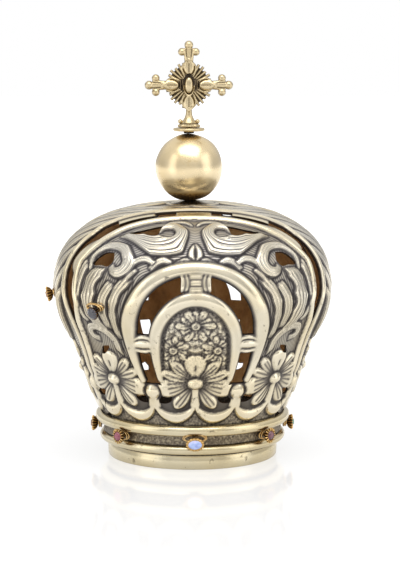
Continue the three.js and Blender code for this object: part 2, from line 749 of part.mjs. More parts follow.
function cutStoneGeometry() {
  const { girdle, girdleFrom, girdleTo, table, crown, keel, culet, sides } = STONE;
  const top = girdleTo + crown;
  return lathe([
    { radius: 0, height: -keel }, { radius: culet, height: -keel }, { radius: girdle, height: girdleFrom },
    { radius: girdle, height: girdleTo }, { radius: table, height: top }, { radius: 0, height: top },
  ], sides);
}

function cabochonGeometry() {
  const { girdle: radius, keel, culet } = STONE;
  const { girdle, crown, angles, sides } = CABOCHON;
  const dome = angles.map((angle) => ({
    radius: radius * Math.cos(degToRad(angle)), height: girdle + crown * Math.sin(degToRad(angle)),
  }));
  const underside = [{ radius: 0, height: -keel }, { radius: culet, height: -keel }];
  return lathe([...underside, ...dome, { radius: 0, height: girdle + crown }], sides);
}

// The seat of a stone on the crown: where its pin starts and which way it points
function stoneSeat({ azimuth, rise, lift }) {
  if (rise === undefined) {
    const angle = degToRad(azimuth);
    const outward = new THREE.Vector3(Math.sin(angle), -Math.cos(angle), 0);
    const start = outward.clone().multiplyScalar(CHANNEL_RADIUS + SEAT_GAP);
    start.z = CHANNEL_HEIGHT;
    return { start, outward };
  }
  const start = onDome([azimuth, rise], lift + SEAT_GAP);
  const outward = onDome([azimuth, rise], 1).sub(onDome([azimuth, rise])).normalize();
  return { start, outward };
}

function settingGroup(row) {
  const group = new THREE.Group();
  const oval = row.cut === 'oval';
  const sizes = [CABOCHON.width, CABOCHON.height];
  const [along, upward] = sizes.map((size) => (oval ? size / (2 * STONE.girdle) : 1));
  const collet = colletGeometry().scale(along, upward, 1);
  const stone = (oval ? cabochonGeometry() : cutStoneGeometry()).scale(along, upward, 1);
  const stoneHeight = COLLET.pinLength + COLLET.floor + STONE.keel + SEAT_GAP;
  group.add(part(`collet_${row.name}`, solidOf(collet), GOLD));
  const stoneMaterial = new THREE.MeshStandardMaterial({ color: row.color, roughness: 0.15, metalness: 0 });
  group.add(part(`stone_${row.name}`, solidOf(stone.translate(0, 0, stoneHeight)), stoneMaterial));
  const { start, outward } = stoneSeat(row);
  const sideways = new THREE.Vector3(0, 0, 1).cross(outward).normalize();
  const upright = outward.clone().cross(sideways);
  group.quaternion.setFromRotationMatrix(new THREE.Matrix4().makeBasis(sideways, upright, outward));
  group.position.copy(start);
  return group;
}

// Materials and assembly
const SILVER_GILT = new THREE.MeshStandardMaterial({ color: '#cfc5a6', roughness: 0.32, metalness: 1 });
const ORB_GILT = new THREE.MeshStandardMaterial({ color: '#cdb27a', roughness: 0.18, metalness: 1 });
const CAST_GILT = new THREE.MeshStandardMaterial({ color: '#b9a06a', roughness: 0.35, metalness: 1 });
const GOLD = new THREE.MeshStandardMaterial({ color: '#b98a45', roughness: 0.35, metalness: 1 });

function part(name, solid, material) {
  const mesh = new THREE.Mesh(geometryOf(solid), material);
  mesh.name = name;
  return mesh;
}

const dome = embossedDome();
const raisedShell = domeShell(RIM.height);
const orbAndCross = new THREE.Group();
orbAndCross.add(
  part('orb', orb(), ORB_GILT),
  part('neck_disc', neckDisc(), CAST_GILT),
  part('cross', cross(), CAST_GILT),
);
orbAndCross.position.x = ORB_ASIDE;
const crown = new THREE.Group();
crown.add(
  part('base_band', baseBand(), SILVER_GILT),
  part('front_panel', panel(dome, raisedShell, 'front', -1, 0), SILVER_GILT),
  part('back_panel', panel(dome, raisedShell, 'back', 1, 180), SILVER_GILT),
  part('side_arch', sideArch(dome, raisedShell), SILVER_GILT),
  orbAndCross,
  ...STONES.map(settingGroup),
);

// The middle of the crown's outline stands over the origin, and the stone on the left sets its axis off it
const outline = new THREE.Box3().setFromObject(crown);
crown.position.set(-(outline.min.x + outline.max.x) / 2, -(outline.min.y + outline.max.y) / 2, 0);

export default crown;
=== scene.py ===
"""Imperial crown of silver-gilt sheet: an embossed and pierced dome on a moulded band, with orb, cross and stones.

Lengths are millimetres about the crown's own axis, with z up. Azimuth 0 faces the front and grows to the right.
A place on the dome is (azimuth in degrees, rise), and rise is the way up the wall from its foot.
"""
import math

import bpy
import numpy as np
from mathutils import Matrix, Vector


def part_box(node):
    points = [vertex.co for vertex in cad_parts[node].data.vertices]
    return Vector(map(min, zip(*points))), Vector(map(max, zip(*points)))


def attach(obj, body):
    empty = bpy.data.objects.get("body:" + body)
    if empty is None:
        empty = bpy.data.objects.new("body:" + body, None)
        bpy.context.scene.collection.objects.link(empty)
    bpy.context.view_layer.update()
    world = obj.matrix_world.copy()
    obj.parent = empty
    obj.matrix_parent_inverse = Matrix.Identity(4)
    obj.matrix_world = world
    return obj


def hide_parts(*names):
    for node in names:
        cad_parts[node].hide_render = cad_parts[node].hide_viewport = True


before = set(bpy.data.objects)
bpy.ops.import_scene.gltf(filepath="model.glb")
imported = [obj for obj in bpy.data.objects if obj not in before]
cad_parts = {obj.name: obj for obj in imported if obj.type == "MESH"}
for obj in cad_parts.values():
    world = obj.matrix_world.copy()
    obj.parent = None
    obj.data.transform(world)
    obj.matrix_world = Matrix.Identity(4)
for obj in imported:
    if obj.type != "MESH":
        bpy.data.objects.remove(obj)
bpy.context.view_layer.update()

MM = 0.001
FAR = 1000.0
band_low, band_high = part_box("base_band")
orb_low, orb_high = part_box("orb")
AXIS = np.array([(band_low.x + band_high.x) / 2, (band_low.y + band_high.y) / 2, 0.0])
ORB_ASIDE = ((orb_low.x + orb_high.x) / 2 - AXIS[0]) / MM

# Meridian of the dome's outer face as radius and height, from the foot to the apex
DOME_STATIONS = (
    (48, 22.6), (49.4, 28), (54, 38), (57.6, 48.5), (62.6, 64), (69.4, 79),
    (72, 91), (68.2, 106.5), (57.5, 119), (38, 128.2), (0, 133.7),
)
SHEET = 1.1
CENTRE_HEIGHT = 75.0

# Distance of each piece's edge from the plane through both ears, by height
EDGE_HEIGHTS = (20, 38, 48, 64, 76, 86, 100, 107, 114, 118, 122, 126, 140)
EDGES = {
    "front": (22.3, 25.4, 27, 29.5, 34, 38.8, 37, 35.8, 37.4, 37.2, 36.8, 37, 37),
    "arch": (21.9, 25, 26, 28.1, 32, 32.4, 30, 29.4, 29.2, 29.2, 27.4, 27.4, 27.4),
    "back": (22.3, 25.4, 27, 29.5, 33.4, 33.6, 31.2, 30.6, 30.4, 30.4, 28.6, 28.6, 28.6),
}
RIM = {"width": 4.3, "height": 1.5, "foot": 46}
TOP_TAB = {"half_width": 9.0, "overlap": 3.3, "gap": 0.3}
LIP = {"from": 19.5, "to": 38.0, "edge": 31.2, "above": 118}
# Tongues on the front panel's edge that reach across the gap to the arch, by side and height
TONGUES = ({"side": -1, "middle": 109.0, "half": 8.5}, {"side": 1, "middle": 118.5, "half": 7.0})
TONGUE_REACH = 5.6

# Tarnish and painted shade run from 0 on polished metal to 1 in the darkest groove
POLISHED = 0.07
LEAF_BRIGHT = 0.04
GROUND = 0.56
SPANDREL = 0.6
GROOVE = 0.92

# Horseshoe arches on a panel
ARCHES = {
    "outer": {"span": 34.4, "springing": 58, "crown": 30.7, "foot_span": 26.5, "foot": 27.5,
              "top": 3.6, "side": 4.7, "end": 1.7},
    "inner": {"span": 20.3, "springing": 50, "crown": 23.3, "foot_span": 17.3, "foot": 28.5,
              "top": 4.0, "side": 3.5, "end": 1.8},
}
ARCH_HEIGHT = 2.2
ARCH_TARNISH = 0.14
SPRINGING_SHARE = 0.62
KEYSTONE = {"half_length": 7.4, "rise": 81.2, "half_width": 4.6}
SIDE_TIE = {"across": 26.4, "from": 42.5, "to": 53.5, "half_width": 3.2}
SLOT_FOOT = 25.5

# Gallery of scallops, flowers and bosses
FLOWER_STEP = 45.0
SCALLOP = {"low": 2.5, "low_depth": 10.6, "high": 8.8, "high_depth": 8.6, "ring": 1.2, "height": 1.7}
FLOWER_RISE = 26.3
FLOWER_BOSS = {"half_width": 3.9, "half_height": 3.0, "ring": 1.8, "height": 2.9}
FLOWER_GROUND = 13.0
PETALS = (
    {"name": "low", "turn": 145, "start": 4.4, "length": 13.0, "half_width": 3.4, "grooves": (-0.3, 0.35),
     "line": (0, 0.85)},
    {"name": "side", "turn": 102, "start": 4.4, "length": 15.0, "half_width": 5.2, "grooves": (-0.5, 0, 0.5),
     "line": (0, 0.62)},
    {"name": "high side", "turn": 70, "start": 4.4, "length": 13.8, "half_width": 2.4, "grooves": (0,),
     "line": (0, 0.8)},
    {"name": "upper", "turn": 45, "start": 4.4, "length": 12.6, "half_width": 2.7, "grooves": (-0.3, 0.35),
     "line": (0, 0.8)},
    {"name": "top", "turn": 0, "start": 3.2, "length": 12.8, "half_width": 5.5, "grooves": (0,), "line": (0.3, 0.58)},
)
PETAL_HEIGHT = 1.9
STEM_HALF_WIDTH = 1.7
BOSS = {"rise": 21.0, "half_width": 3.7, "half_height": 4.1, "height": 2.8, "stem_half_width": 2.6}
CRESCENT = {"across": 15.8, "drop": 9.2, "half_width": 4.4, "half_height": 3.1}

# Lines chased round the arches on the ground of a panel, and low leaflets in the lunette under the inner arch
CHASING = {"centre": 58.0, "step": 1.3, "waves": ((5, 0.9), (13, 0.5)), "tarnish_and_shade": 0.42}
LUNETTE = {"seed": 5, "centre": 50.0, "reach": (3, 26), "row": 3.0, "step": 3.6, "turn": 150, "length": 5.0,
           "half_width": 1.25, "height": 0.9, "scatter": 60, "border": 1.5}
# Sprays of lobed leaves round small rings in the lunette
SPRAYS = (
    {"across": 0, "rise": 59.4, "size": 10.2, "leaves": 6, "turn": 30},
    {"across": -11, "rise": 44.9, "size": 8.6, "leaves": 6, "turn": 8},
    {"across": 11, "rise": 44.9, "size": 8.6, "leaves": 6, "turn": -8},
)
SPRAY_LOBES = ((-26, 0.76), (26, 0.76), (0, 1.0))

# Leaves on the right half of a panel: two edges from root to tip, and the shares across at which flutes meet
LEAVES = (
    {"name": "top scroll", "height": 2.3, "flutes": (0, 0.2, 0.4, 0.6, 0.8, 1), "lines": 8, "lobes": 5, "notch": 0.1,
     "outer": ((19.7, 111.2), (17.4, 117), (10.4, 118.8), (4.2, 113), (3, 104.6), (5.9, 97.3), (11.5, 93.9),
               (17.8, 94.7), (24.6, 98.3), (31.9, 103.3), (40.5, 106)),
     "inner": ((19.2, 110.6), (15.8, 113.2), (12.4, 112.8), (10.6, 110.4), (11, 108), (13.4, 106.8), (17, 107.8),
               (22, 109), (28, 109), (34, 108.6), (40.5, 106.8))},
    {"name": "shoulder scroll", "height": 2.1, "flutes": (0, 0.26, 0.5, 0.74, 1), "lines": 10, "lobes": 5, "notch": 0.08,
     "outer": ((48.6, 84), (49.6, 93), (45.4, 99.4), (39.6, 102.2), (32.2, 100.4), (27.4, 94.9), (26, 89.7),
               (27.4, 85.3), (32, 82.5), (36.8, 84), (38.5, 86.9)),
     "inner": ((47.4, 84.5), (47.8, 91.6), (44.2, 96), (39.5, 97.4), (35.4, 96.2), (33.2, 93.5), (32.4, 90.6),
               (33, 88.6), (34.4, 87.8), (35.8, 88.4), (36.4, 89.6))},
    {"name": "side leaf", "height": 1.9, "flutes": (0, 0.25, 0.5, 0.75, 1), "lines": 12, "groove": 0.96, "lobes": 4, "notch": 0.14,
     "outer": ((47.6, 86.6), (51, 78), (52.4, 68.5), (50.8, 61.5), (45.6, 54.8), (40.4, 51)),
     "inner": ((38.8, 86.4), (42.4, 79), (43.6, 70), (42.6, 63.5), (40.2, 57), (38, 52.6))},
    {"name": "rim leaf", "height": 1.3, "flutes": (0, 0.5, 1),
     "outer": ((53.4, 91), (55.6, 80), (55.8, 69), (54.6, 61.5), (51.6, 57.5)),
     "inner": ((50.6, 86), (52.6, 78), (53.6, 69), (52.6, 63), (50.4, 59))},
    {"name": "inner leaf", "height": 1.5, "flutes": (0, 0.35, 0.7, 1), "groove": 0.96,
     "outer": ((38, 80.5), (41.6, 73.5), (42.8, 66), (41.6, 60), (39.2, 55.5)),
     "inner": ((33.6, 78.4), (37.2, 72), (38.4, 65), (38, 60), (37, 56))},
    {"name": "arch leaf", "height": 1.5, "flutes": (0, 0.33, 0.67, 1), "lines": 9, "groove": 0.96, "lobes": 4, "notch": 0.1,
     "outer": ((31.6, 83), (35.6, 75), (37.4, 67), (37.4, 59), (36.2, 50)),
     "inner": ((25.6, 81.4), (30.6, 74.4), (33.4, 66), (34, 58), (33.4, 50))},
    {"name": "arch sprig", "height": 1.2, "flutes": (0, 0.5, 1), "lines": 6,
     "outer": ((9.4, 91.6), (13.4, 94.4), (17, 93), (19.8, 89)), "inner": ((9.6, 90.2), (13.2, 91), (15.8, 89.8), (18, 87))},
    {"name": "low scroll", "height": 1.8, "flutes": (0, 0.34, 0.67, 1),
     "outer": ((35.4, 40), (36.4, 49.6), (40, 55.4), (46, 58.2), (51.4, 57.2), (53.4, 53), (51.6, 48.6), (48, 47)),
     "inner": ((38.6, 43), (39.8, 48.4), (42.4, 51.8), (46, 53.8), (49, 53.8), (49.8, 52.2), (49, 50.8), (47.4, 50))},
    {"name": "sprig over the arch", "height": 1.3, "flutes": (0, 0.5, 1),
     "outer": ((17.4, 91.6), (21, 94.8), (25.4, 94), (28, 90.4)),
     "inner": ((18.4, 90.2), (21.4, 91.6), (24.6, 90.8), (26.6, 88.6))},
    {"name": "sprig tip", "height": 1.1, "flutes": (0, 1),
     "outer": ((25.8, 87.4), (29.4, 83.4), (30.6, 80)), "inner": ((24.6, 86.6), (27.4, 82.8), (29.4, 80))},
    {"name": "bud", "height": 1.3, "flutes": (0, 0.5, 1),
     "outer": ((0.2, 91.4), (2.9, 94.4), (2.6, 98.8), (0.2, 103)), "inner": ((0.1, 92), (0.6, 95), (0.6, 99), (0.1, 102))},
    {"name": "bud leaf", "height": 1.0, "flutes": (0, 0.5, 1),
     "outer": ((0.8, 91), (4, 94.2), (7, 92.8), (9.4, 91.4)), "inner": ((1, 90.2), (4, 91.4), (7, 91), (9, 90.6))},
    {"name": "crest curl", "height": 1.0, "flutes": (0, 0.5, 1),
     "outer": ((1, 117.6), (5, 121.6), (12, 121.8), (18, 120)), "inner": ((2.4, 117.4), (6, 119.4), (12, 119.8), (17, 118.8))},
)
OPENINGS = (
    {"name": "above the top scroll",
     "outline": ((19.3, 117), (23, 116), (27, 114.2), (32, 111.8), (37.4, 109.5), (28, 109.2), (20, 109.4))},
    {"name": "shoulder",
     "outline": ((38.4, 96), (43.2, 95.4), (46.9, 91.6), (47.4, 88), (43.3, 88.4), (39.4, 88), (37.3, 91.3))},
    {"name": "above the side flower", "outline": ((43.2, 44.8), (48, 43.8), (48.8, 40.6), (45.3, 41))},
)

# Feathered leaves of the side arch, by pairs up its middle line
SADDLE = {"first": 40.0, "last": 136.0, "pairs": 8, "plate": 14.0}
SADDLE_LEAF = {
    "outer": ((0.6, 0), (8, 6), (17, 18), (25, 33)),
    "inner": ((0.6, 12.6), (7.4, 17.6), (16, 28), (25, 37)),
    "flutes": (0, 0.34, 0.67, 1), "groove": 0.7, "lines": 6, "outline": 0.85,
}
SADDLE_HEIGHTS = {"lowest": 3.2, "others": 1.5}


# Small helpers
def smoothstep(low, high, value):
    share = np.clip((value - low) / (high - low), 0, 1)
    return share * share * (3 - 2 * share)


def half_round(share, power=2.0):
    return np.sqrt(np.clip(1 - np.abs(share) ** power, 0, 1))


def spline(points, count):
    """A smooth curve through points, as count points evenly along it."""
    points = np.asarray(points, float)
    padded = np.vstack([points[:1], points, points[-1:]])
    step = np.linspace(0, 1, 24, endpoint=False)[:, None]
    spans = []
    for a, b, c, d in zip(padded, padded[1:], padded[2:], padded[3:]):
        spans.append(0.5 * (2 * b + (c - a) * step + (2 * a - 5 * b + 4 * c - d) * step ** 2
                            + (3 * b - a - 3 * c + d) * step ** 3))
    dense = np.vstack([*spans, points[-1:]])
    way = np.concatenate([[0], np.cumsum(np.linalg.norm(np.diff(dense, axis=0), axis=1))])
    even = np.linspace(0, way[-1], count)
    return np.column_stack([np.interp(even, way, column) for column in dense.T])


meridian = spline(DOME_STATIONS, 1600)
steps = np.linalg.norm(np.diff(meridian, axis=0), axis=1)
rises = np.concatenate([[0], np.cumsum(steps)])
along = np.gradient(meridian, axis=0)
along /= np.linalg.norm(along, axis=1)[:, None]
BELLY = int(np.argmax(meridian[:, 0]))


def radius_at(rise):
    return np.interp(rise, rises, meridian[:, 0])


def dome(azimuth, rise, lift=0.0):
    """Points on the dome's outer face, or off it by a lift along the normal."""
    reach = radius_at(rise) + lift * np.interp(rise, rises, along[:, 1])
    height = np.interp(rise, rises, meridian[:, 1]) - lift * np.interp(rise, rises, along[:, 0])
    angle = np.radians(azimuth)
    return np.stack([reach * np.sin(angle), -reach * np.cos(angle), height], axis=-1)


def rise_of(points):
    """The rise of points that lie on the dome."""
    radius = np.hypot(points[..., 0], points[..., 1])
    by_height = np.interp(points[..., 2], meridian[:, 1], rises)
    return np.where(by_height > rises[BELLY] + 25, rise_at_radius(radius), by_height)


def rise_at_radius(radius):
    """The rise on the upper half of the dome at which its radius is the given one."""
    return np.interp(-radius, -meridian[BELLY:, 0], rises[BELLY:])


def beside(azimuth, across, rise):
    return azimuth + np.degrees(across / radius_at(rise)), rise


def grown(mask):
    padded = np.pad(mask, 1)
    rows, columns = mask.shape
    result = np.zeros_like(mask)
    for i in range(3):
        for j in range(3):
            result |= padded[i:i + rows, j:j + columns]
    return result


def blurred(field, times):
    for _ in range(times):
        for axis in (0, 1):
            padded = np.pad(field, [(1, 1) if k == axis else (0, 0) for k in (0, 1)], mode="edge")
            low, high = (padded[:-2], padded[2:]) if axis == 0 else (padded[:, :-2], padded[:, 2:])
            field = 0.5 * field + 0.25 * (low + high)
    return field


def nearest(path, points):
    """Distance of points from a path on the dome, positive on its left, and the share of the way along it."""
    starts, spans = path[:-1], np.diff(path, axis=0)
    lengths = np.einsum("ij,ij->i", spans, spans)
    flat = points.reshape(-1, 3)
    across, share = np.empty(len(flat)), np.empty(len(flat))
    for first in range(0, len(flat), 8000):
        block = flat[first:first + 8000]
        offset = block[:, None] - starts
        way = np.clip(np.einsum("ijk,jk->ij", offset, spans) / lengths, 0, 1)
        gap = offset - way[..., None] * spans
        squared = np.einsum("ijk,ijk->ij", gap, gap)
        best = np.argmin(squared, axis=1)
        pick = (np.arange(len(block)), best)
        outward = block - np.array([0, 0, CENTRE_HEIGHT])
        side = np.einsum("ij,ij->i", np.cross(spans[best], gap[pick]), outward)
        across[first:first + 8000] = np.sqrt(squared[pick]) * np.where(side < 0, -1, 1)
        share[first:first + 8000] = (best + way[pick]) / len(spans)
    return across.reshape(points.shape[:-1]), share.reshape(points.shape[:-1])


def outline_distance(outline, x, y):
    """Distance of places from a closed outline, positive outside it."""
    best = np.full(x.shape, FAR)
    inside = np.zeros(x.shape, bool)
    for (ax, ay), (bx, by) in zip(outline, np.roll(outline, -1, axis=0)):
        dx, dy = bx - ax, by - ay
        way = np.clip(((x - ax) * dx + (y - ay) * dy) / (dx * dx + dy * dy + 1e-9), 0, 1)
        best = np.minimum(best, np.hypot(x - ax - way * dx, y - ay - way * dy))
        crosses = (ay > y) != (by > y)
        inside ^= crosses & (x < (bx - ax) * (y - ay) / np.where(crosses, by - ay, 1) + ax)
    return np.where(inside, -best, best)


class Relief:
    """A fine grid with the height, tarnish and painted shade of its face and with what is kept of it, all in
    millimetres.
    """

    outline_cells = 1

    def __init__(self, points, ground):
        shape = points.shape[:2]
        self.points = points
        self.height = np.zeros(shape)
        self.tarnish_and_shade = np.full(shape, ground)
        self.matting = np.zeros(shape)
        self.lines = np.zeros(shape)
        self.engraved = np.zeros(shape)
        self.keep = np.full(shape, FAR)

    def cover(self, inside, height, tarnish_and_shade, outline=GROOVE, lines=None, engraved=1.0):
        """Raise a form over what lies lower, with a dark line of tarnish and painted shade along its foot and fine
        lines at whole numbers of lines.
        """
        height = np.broadcast_to(height, inside.shape)
        higher = inside & (height > self.height)
        self.height = np.where(higher, height, self.height)
        self.tarnish_and_shade = np.where(higher, tarnish_and_shade, self.tarnish_and_shade)
        self.engraved = np.where(higher, 0 if lines is None else engraved, self.engraved)
        self.lines = np.where(higher, 0 if lines is None else lines, self.lines)
        foot = inside
        for _ in range(self.outline_cells):
            foot = grown(foot)
        # The line along the foot is tarnish in the crease and painted shade where the form meets the ground
        foot = foot & ~inside & (self.height < 1.2)
        self.tarnish_and_shade = np.where(foot, np.maximum(self.tarnish_and_shade, outline), self.tarnish_and_shade)

    def groove(self, distance, half_width, depth, where=True):
        """Engrave a line at the given distance field."""
        cut = np.exp(-(distance / half_width) ** 2) * where
        self.height = self.height - depth * cut
        self.tarnish_and_shade = np.maximum(self.tarnish_and_shade, GROOVE * cut)

    def sink(self, inside, height, tarnish_and_shade=GROOVE):
        """A plain hollow or ground."""
        self.height = np.where(inside, height, self.height)
        self.tarnish_and_shade = np.where(inside, tarnish_and_shade, self.tarnish_and_shade)
        self.engraved = np.where(inside, 0, self.engraved)

    def pierce(self, distance):
        self.keep = np.minimum(self.keep, distance)


class DomeRelief(Relief):
    """A relief on the dome, whose grid is told apart by azimuth and rise, twice as fine as its mesh."""

    outline_cells = 2

    def __init__(self, azimuth, rise, index_of):
        super().__init__(dome(azimuth, rise), GROUND)
        self.azimuth, self.rise = azimuth, rise
        self.normals = dome(azimuth, rise, 1.0) - self.points
        self.index_of = index_of

    def local(self, azimuth, rise):
        """Distance across and up from a place."""
        turn = (self.azimuth - azimuth + 180) % 360 - 180
        return np.radians(turn) * radius_at(self.rise), self.rise - rise

    def settle(self, azimuth, rise, outline, *fields):
        """Lay a cloud of close samples of height, tarnish and lines on the grid as one raised form."""
        row, column = self.index_of(azimuth.ravel(), rise.ravel())
        rows, columns = self.height.shape
        fits = (row >= 0) & (row < rows - 1) & (column >= 0) & (column < columns - 1)
        row, column = row[fits], column[fits]
        low_row, low_column = row.astype(int), column.astype(int)
        weight, *sums = (np.zeros(rows * columns) for _ in range(1 + len(fields)))
        for i in (0, 1):
            for j in (0, 1):
                share = np.abs(1 - i - (row - low_row)) * np.abs(1 - j - (column - low_column))
                node = (low_row + i) * columns + low_column + j
                weight += np.bincount(node, share, rows * columns)
                for total, field in zip(sums, fields):
                    total += np.bincount(node, share * field.ravel()[fits], rows * columns)
        covered = (weight > 0.5).reshape(rows, columns)
        scale = np.maximum(weight, 0.5)
        height, tarnish_and_shade, lines = ((total / scale).reshape(rows, columns) for total in sums)
        self.cover(covered, height, tarnish_and_shade, outline, lines)

    def thin(self):
        """Keep every other row and column, each standing for its neighbours too."""
        for key in ("height", "tarnish_and_shade", "matting", "engraved"):
            setattr(self, key, blurred(getattr(self, key), 1)[::2, ::2])
        for key in ("points", "normals", "lines", "keep"):
            setattr(self, key, getattr(self, key)[::2, ::2])


# Grids of the dome's pieces
PANEL_GRID = {"half_turn": 68.0, "top": 141.0, "columns": 531, "rows": 447}
ARCH_GRID = {"low": -48.5, "half_width": 34.0, "columns": 195, "rows": 939}


def panel_relief(centre):
    turn, top = PANEL_GRID["half_turn"], PANEL_GRID["top"]
    columns, rows = PANEL_GRID["columns"], PANEL_GRID["rows"]
    azimuth, rise = np.meshgrid(centre + np.linspace(-turn, turn, columns), np.linspace(0, top, rows))

    def index_of(places_azimuth, places_rise):
        offset = (places_azimuth - centre + 180) % 360 - 180
        return places_rise / top * (rows - 1), (offset + turn) / (2 * turn) * (columns - 1)

    return DomeRelief(azimuth, rise, index_of)


def arch_relief():
    """A grid over the top from ear to ear: turn about the line through both temples by distance across."""
    low, half = ARCH_GRID["low"], ARCH_GRID["half_width"]
    columns, rows = ARCH_GRID["columns"], ARCH_GRID["rows"]
    turn = np.radians(np.linspace(low, 180 - low, rows))[:, None]
    across = np.linspace(-half, half, columns)[None, :]
    near, far = np.full((rows, columns), 5.0), np.full((rows, columns), 120.0)
    for _ in range(40):
        middle = (near + far) / 2
        x, z = middle * np.cos(turn), CENTRE_HEIGHT + middle * np.sin(turn)
        wall = np.interp(z, meridian[:, 1], meridian[:, 0], right=0.0)
        outside = np.hypot(x, across) > wall
        near, far = np.where(outside, near, middle), np.where(outside, middle, far)
    points = np.stack([near * np.cos(turn), across + 0 * turn, CENTRE_HEIGHT + near * np.sin(turn)], axis=-1)
    azimuth = np.degrees(np.arctan2(points[..., 0], -points[..., 1]))

    def index_of(places_azimuth, places_rise):
        spot = dome(places_azimuth, places_rise)
        angle = np.degrees(np.arctan2(spot[:, 2] - CENTRE_HEIGHT, spot[:, 0]))
        angle = np.where(angle < -90, angle + 360, angle)
        return (angle - low) / (180 - 2 * low) * (rows - 1), (spot[:, 1] + half) / (2 * half) * (columns - 1)

    return DomeRelief(azimuth, rise_of(points), index_of)


# Embossed leaves
LEAF_SAMPLES = (460, 140)


def fluted(share, way, flutes, height, groove):
    """Height and tarnish across a leaf whose flutes meet in grooves, by share across and way along."""
    edges = np.asarray(flutes, float)
    flute = np.clip(np.searchsorted(edges, share, side="right") - 1, 0, len(edges) - 2)
    x = (share - edges[flute]) / (edges[flute + 1] - edges[flute]) * 2 - 1
    ends = smoothstep(0, 0.05, way) * smoothstep(0, 0.1, 1 - way)
    body = 0.25 + 0.25 * np.sin(np.pi * share) + 0.5 * half_round(x)
    tarnish_and_shade = LEAF_BRIGHT + (groove - LEAF_BRIGHT) * smoothstep(0.55, 0.98, np.abs(x))
    return height * (0.3 + 0.7 * ends) * body, tarnish_and_shade


def add_leaf(relief, centre, side, leaf):
    count, width = LEAF_SAMPLES
    outer, inner = (spline(leaf[edge], count)[:, None, :] for edge in ("outer", "inner"))
    share, way = np.meshgrid(np.linspace(0, 1, width), np.linspace(0, 1, count))
    notch = leaf.get("notch", 0) * np.abs(np.cos(np.pi * leaf.get("lobes", 0) * way))
    spread = (notch + (1 - 2 * notch) * share)[..., None]
    places = outer * (1 - spread) + inner * spread
    height, tarnish_and_shade = fluted(share, way, leaf["flutes"], leaf["height"], leaf.get("groove", 0.84))
    lines = leaf.get("lines", 8) * share + 0.5
    outline = leaf.get("outline", GROOVE)
    relief.settle(centre + side * places[..., 0], places[..., 1], outline, height, tarnish_and_shade, lines)


# Arches of a panel
def arch_places(arch, centre):
    share = np.linspace(-1, 1, 81)
    way, side = np.abs(share), np.sign(share)
    angle = np.clip(way / SPRINGING_SHARE, 0, 1) * np.pi / 2
    down = np.clip((way - SPRINGING_SHARE) / (1 - SPRINGING_SHARE), 0, 1)
    across = side * (arch["span"] * np.sin(angle) - (arch["span"] - arch["foot_span"]) * down ** 2)
    rise = np.where(down > 0, arch["springing"] + (arch["foot"] - arch["springing"]) * down,
                    arch["springing"] + arch["crown"] * np.cos(angle))
    return beside(centre, across, rise)


def arch_half_width(arch, share):
    way = np.abs(2 * share - 1)
    return np.interp(way, (0, SPRINGING_SHARE, 1), (arch["top"], arch["side"], arch["end"]))


def add_arches(relief, centre):
    fields = {}
    for name, arch in ARCHES.items():
        path = dome(*arch_places(arch, centre))
        across, share = nearest(path, relief.points)
        fields[name] = (across, arch_half_width(arch, share))
    x, y = relief.local(centre, KEYSTONE["rise"])
    keystone = np.minimum(KEYSTONE["half_length"] - np.abs(x), KEYSTONE["half_width"] - np.abs(y))
    middle = (SIDE_TIE["from"] + SIDE_TIE["to"]) / 2
    tie_x, tie_y = relief.local(centre, middle)
    reach = (SIDE_TIE["to"] - SIDE_TIE["from"]) / 2
    aside = np.abs(tie_x) - SIDE_TIE["across"]
    tie = np.minimum(reach - np.abs(tie_y), 2 * SIDE_TIE["half_width"] - np.abs(aside))
    outer_across, outer_half = fields["outer"]
    inner_across, inner_half = fields["inner"]
    solid = np.maximum.reduce([outer_across + outer_half, inner_half - inner_across, keystone, tie,
                               SLOT_FOOT - relief.rise])
    relief.pierce(np.where(np.abs(x) < 60, solid, FAR))
    between = (outer_across < 0) & (inner_across > 0)
    add_keystone(relief, x, y, keystone, between)
    add_side_ties(relief, tie_y, aside, tie, between)
    for across, half in fields.values():
        share = across / half
        # Each band gets darker towards its edges: painted shading of its rounded face
        relief.cover(np.abs(share) < 1, ARCH_HEIGHT * half_round(share, 2.4) ** 1.1,
                     ARCH_TARNISH + 0.7 * smoothstep(0.55, 1, np.abs(share)))
    return inner_across + inner_half


def add_keystone(relief, x, y, inside, between):
    """A barrel lying across, between two bowed bars and two end blocks."""
    inside = (inside > 0) & between
    relief.cover(inside, 0.6 + 1.1 * half_round(y / KEYSTONE["half_width"], 3), POLISHED)
    for bow in (3.0, 5.0):
        relief.groove(np.abs(x) - bow - 0.06 * y ** 2, 0.5, 1.0, inside)
    for line in (-1.5, 1.5):
        relief.groove(y - line, 0.45, 0.8, inside & (np.abs(x) < 2.6))


def add_side_ties(relief, y, aside, inside, between):
    """Upright spools: a round swelling between two bowed rings."""
    bow = 1 - 0.16 * (aside / SIDE_TIE["half_width"]) ** 2
    way = np.abs(y) / (SIDE_TIE["to"] - SIDE_TIE["from"]) * 2 / np.clip(bow, 0.6, 1)
    swelling = np.maximum(half_round(way / 0.46), 0.75 * half_round((way - 0.78) / 0.2))
    dark = POLISHED + (GROOVE - POLISHED) * smoothstep(0.5, 0.15, swelling)
    relief.cover((inside > 0) & between, 0.4 + 1.7 * swelling, dark)


# Petals, flowers and bosses
def petal(x, y, turn, start, length, half_width):
    """Share along, share across and distance inside a petal that widens to a round end."""
    angle = math.radians(turn)
    way = (x * math.sin(angle) + y * math.cos(angle) - start) / length
    aside = x * math.cos(angle) - y * math.sin(angle)
    bulge = 0.66
    spread = np.where(way < bulge, 0.22 + 0.78 * np.sin(np.clip(way / bulge, 0, 1) * np.pi / 2),
                      half_round(np.clip((way - bulge) / (1 - bulge), -1, 1)))
    half = np.maximum(half_width * spread, 1e-3)
    across = aside / half
    inside = np.where((way > 0) & (way < 1), (1 - np.abs(across)) * half, -1.0)
    return way, across, inside, half


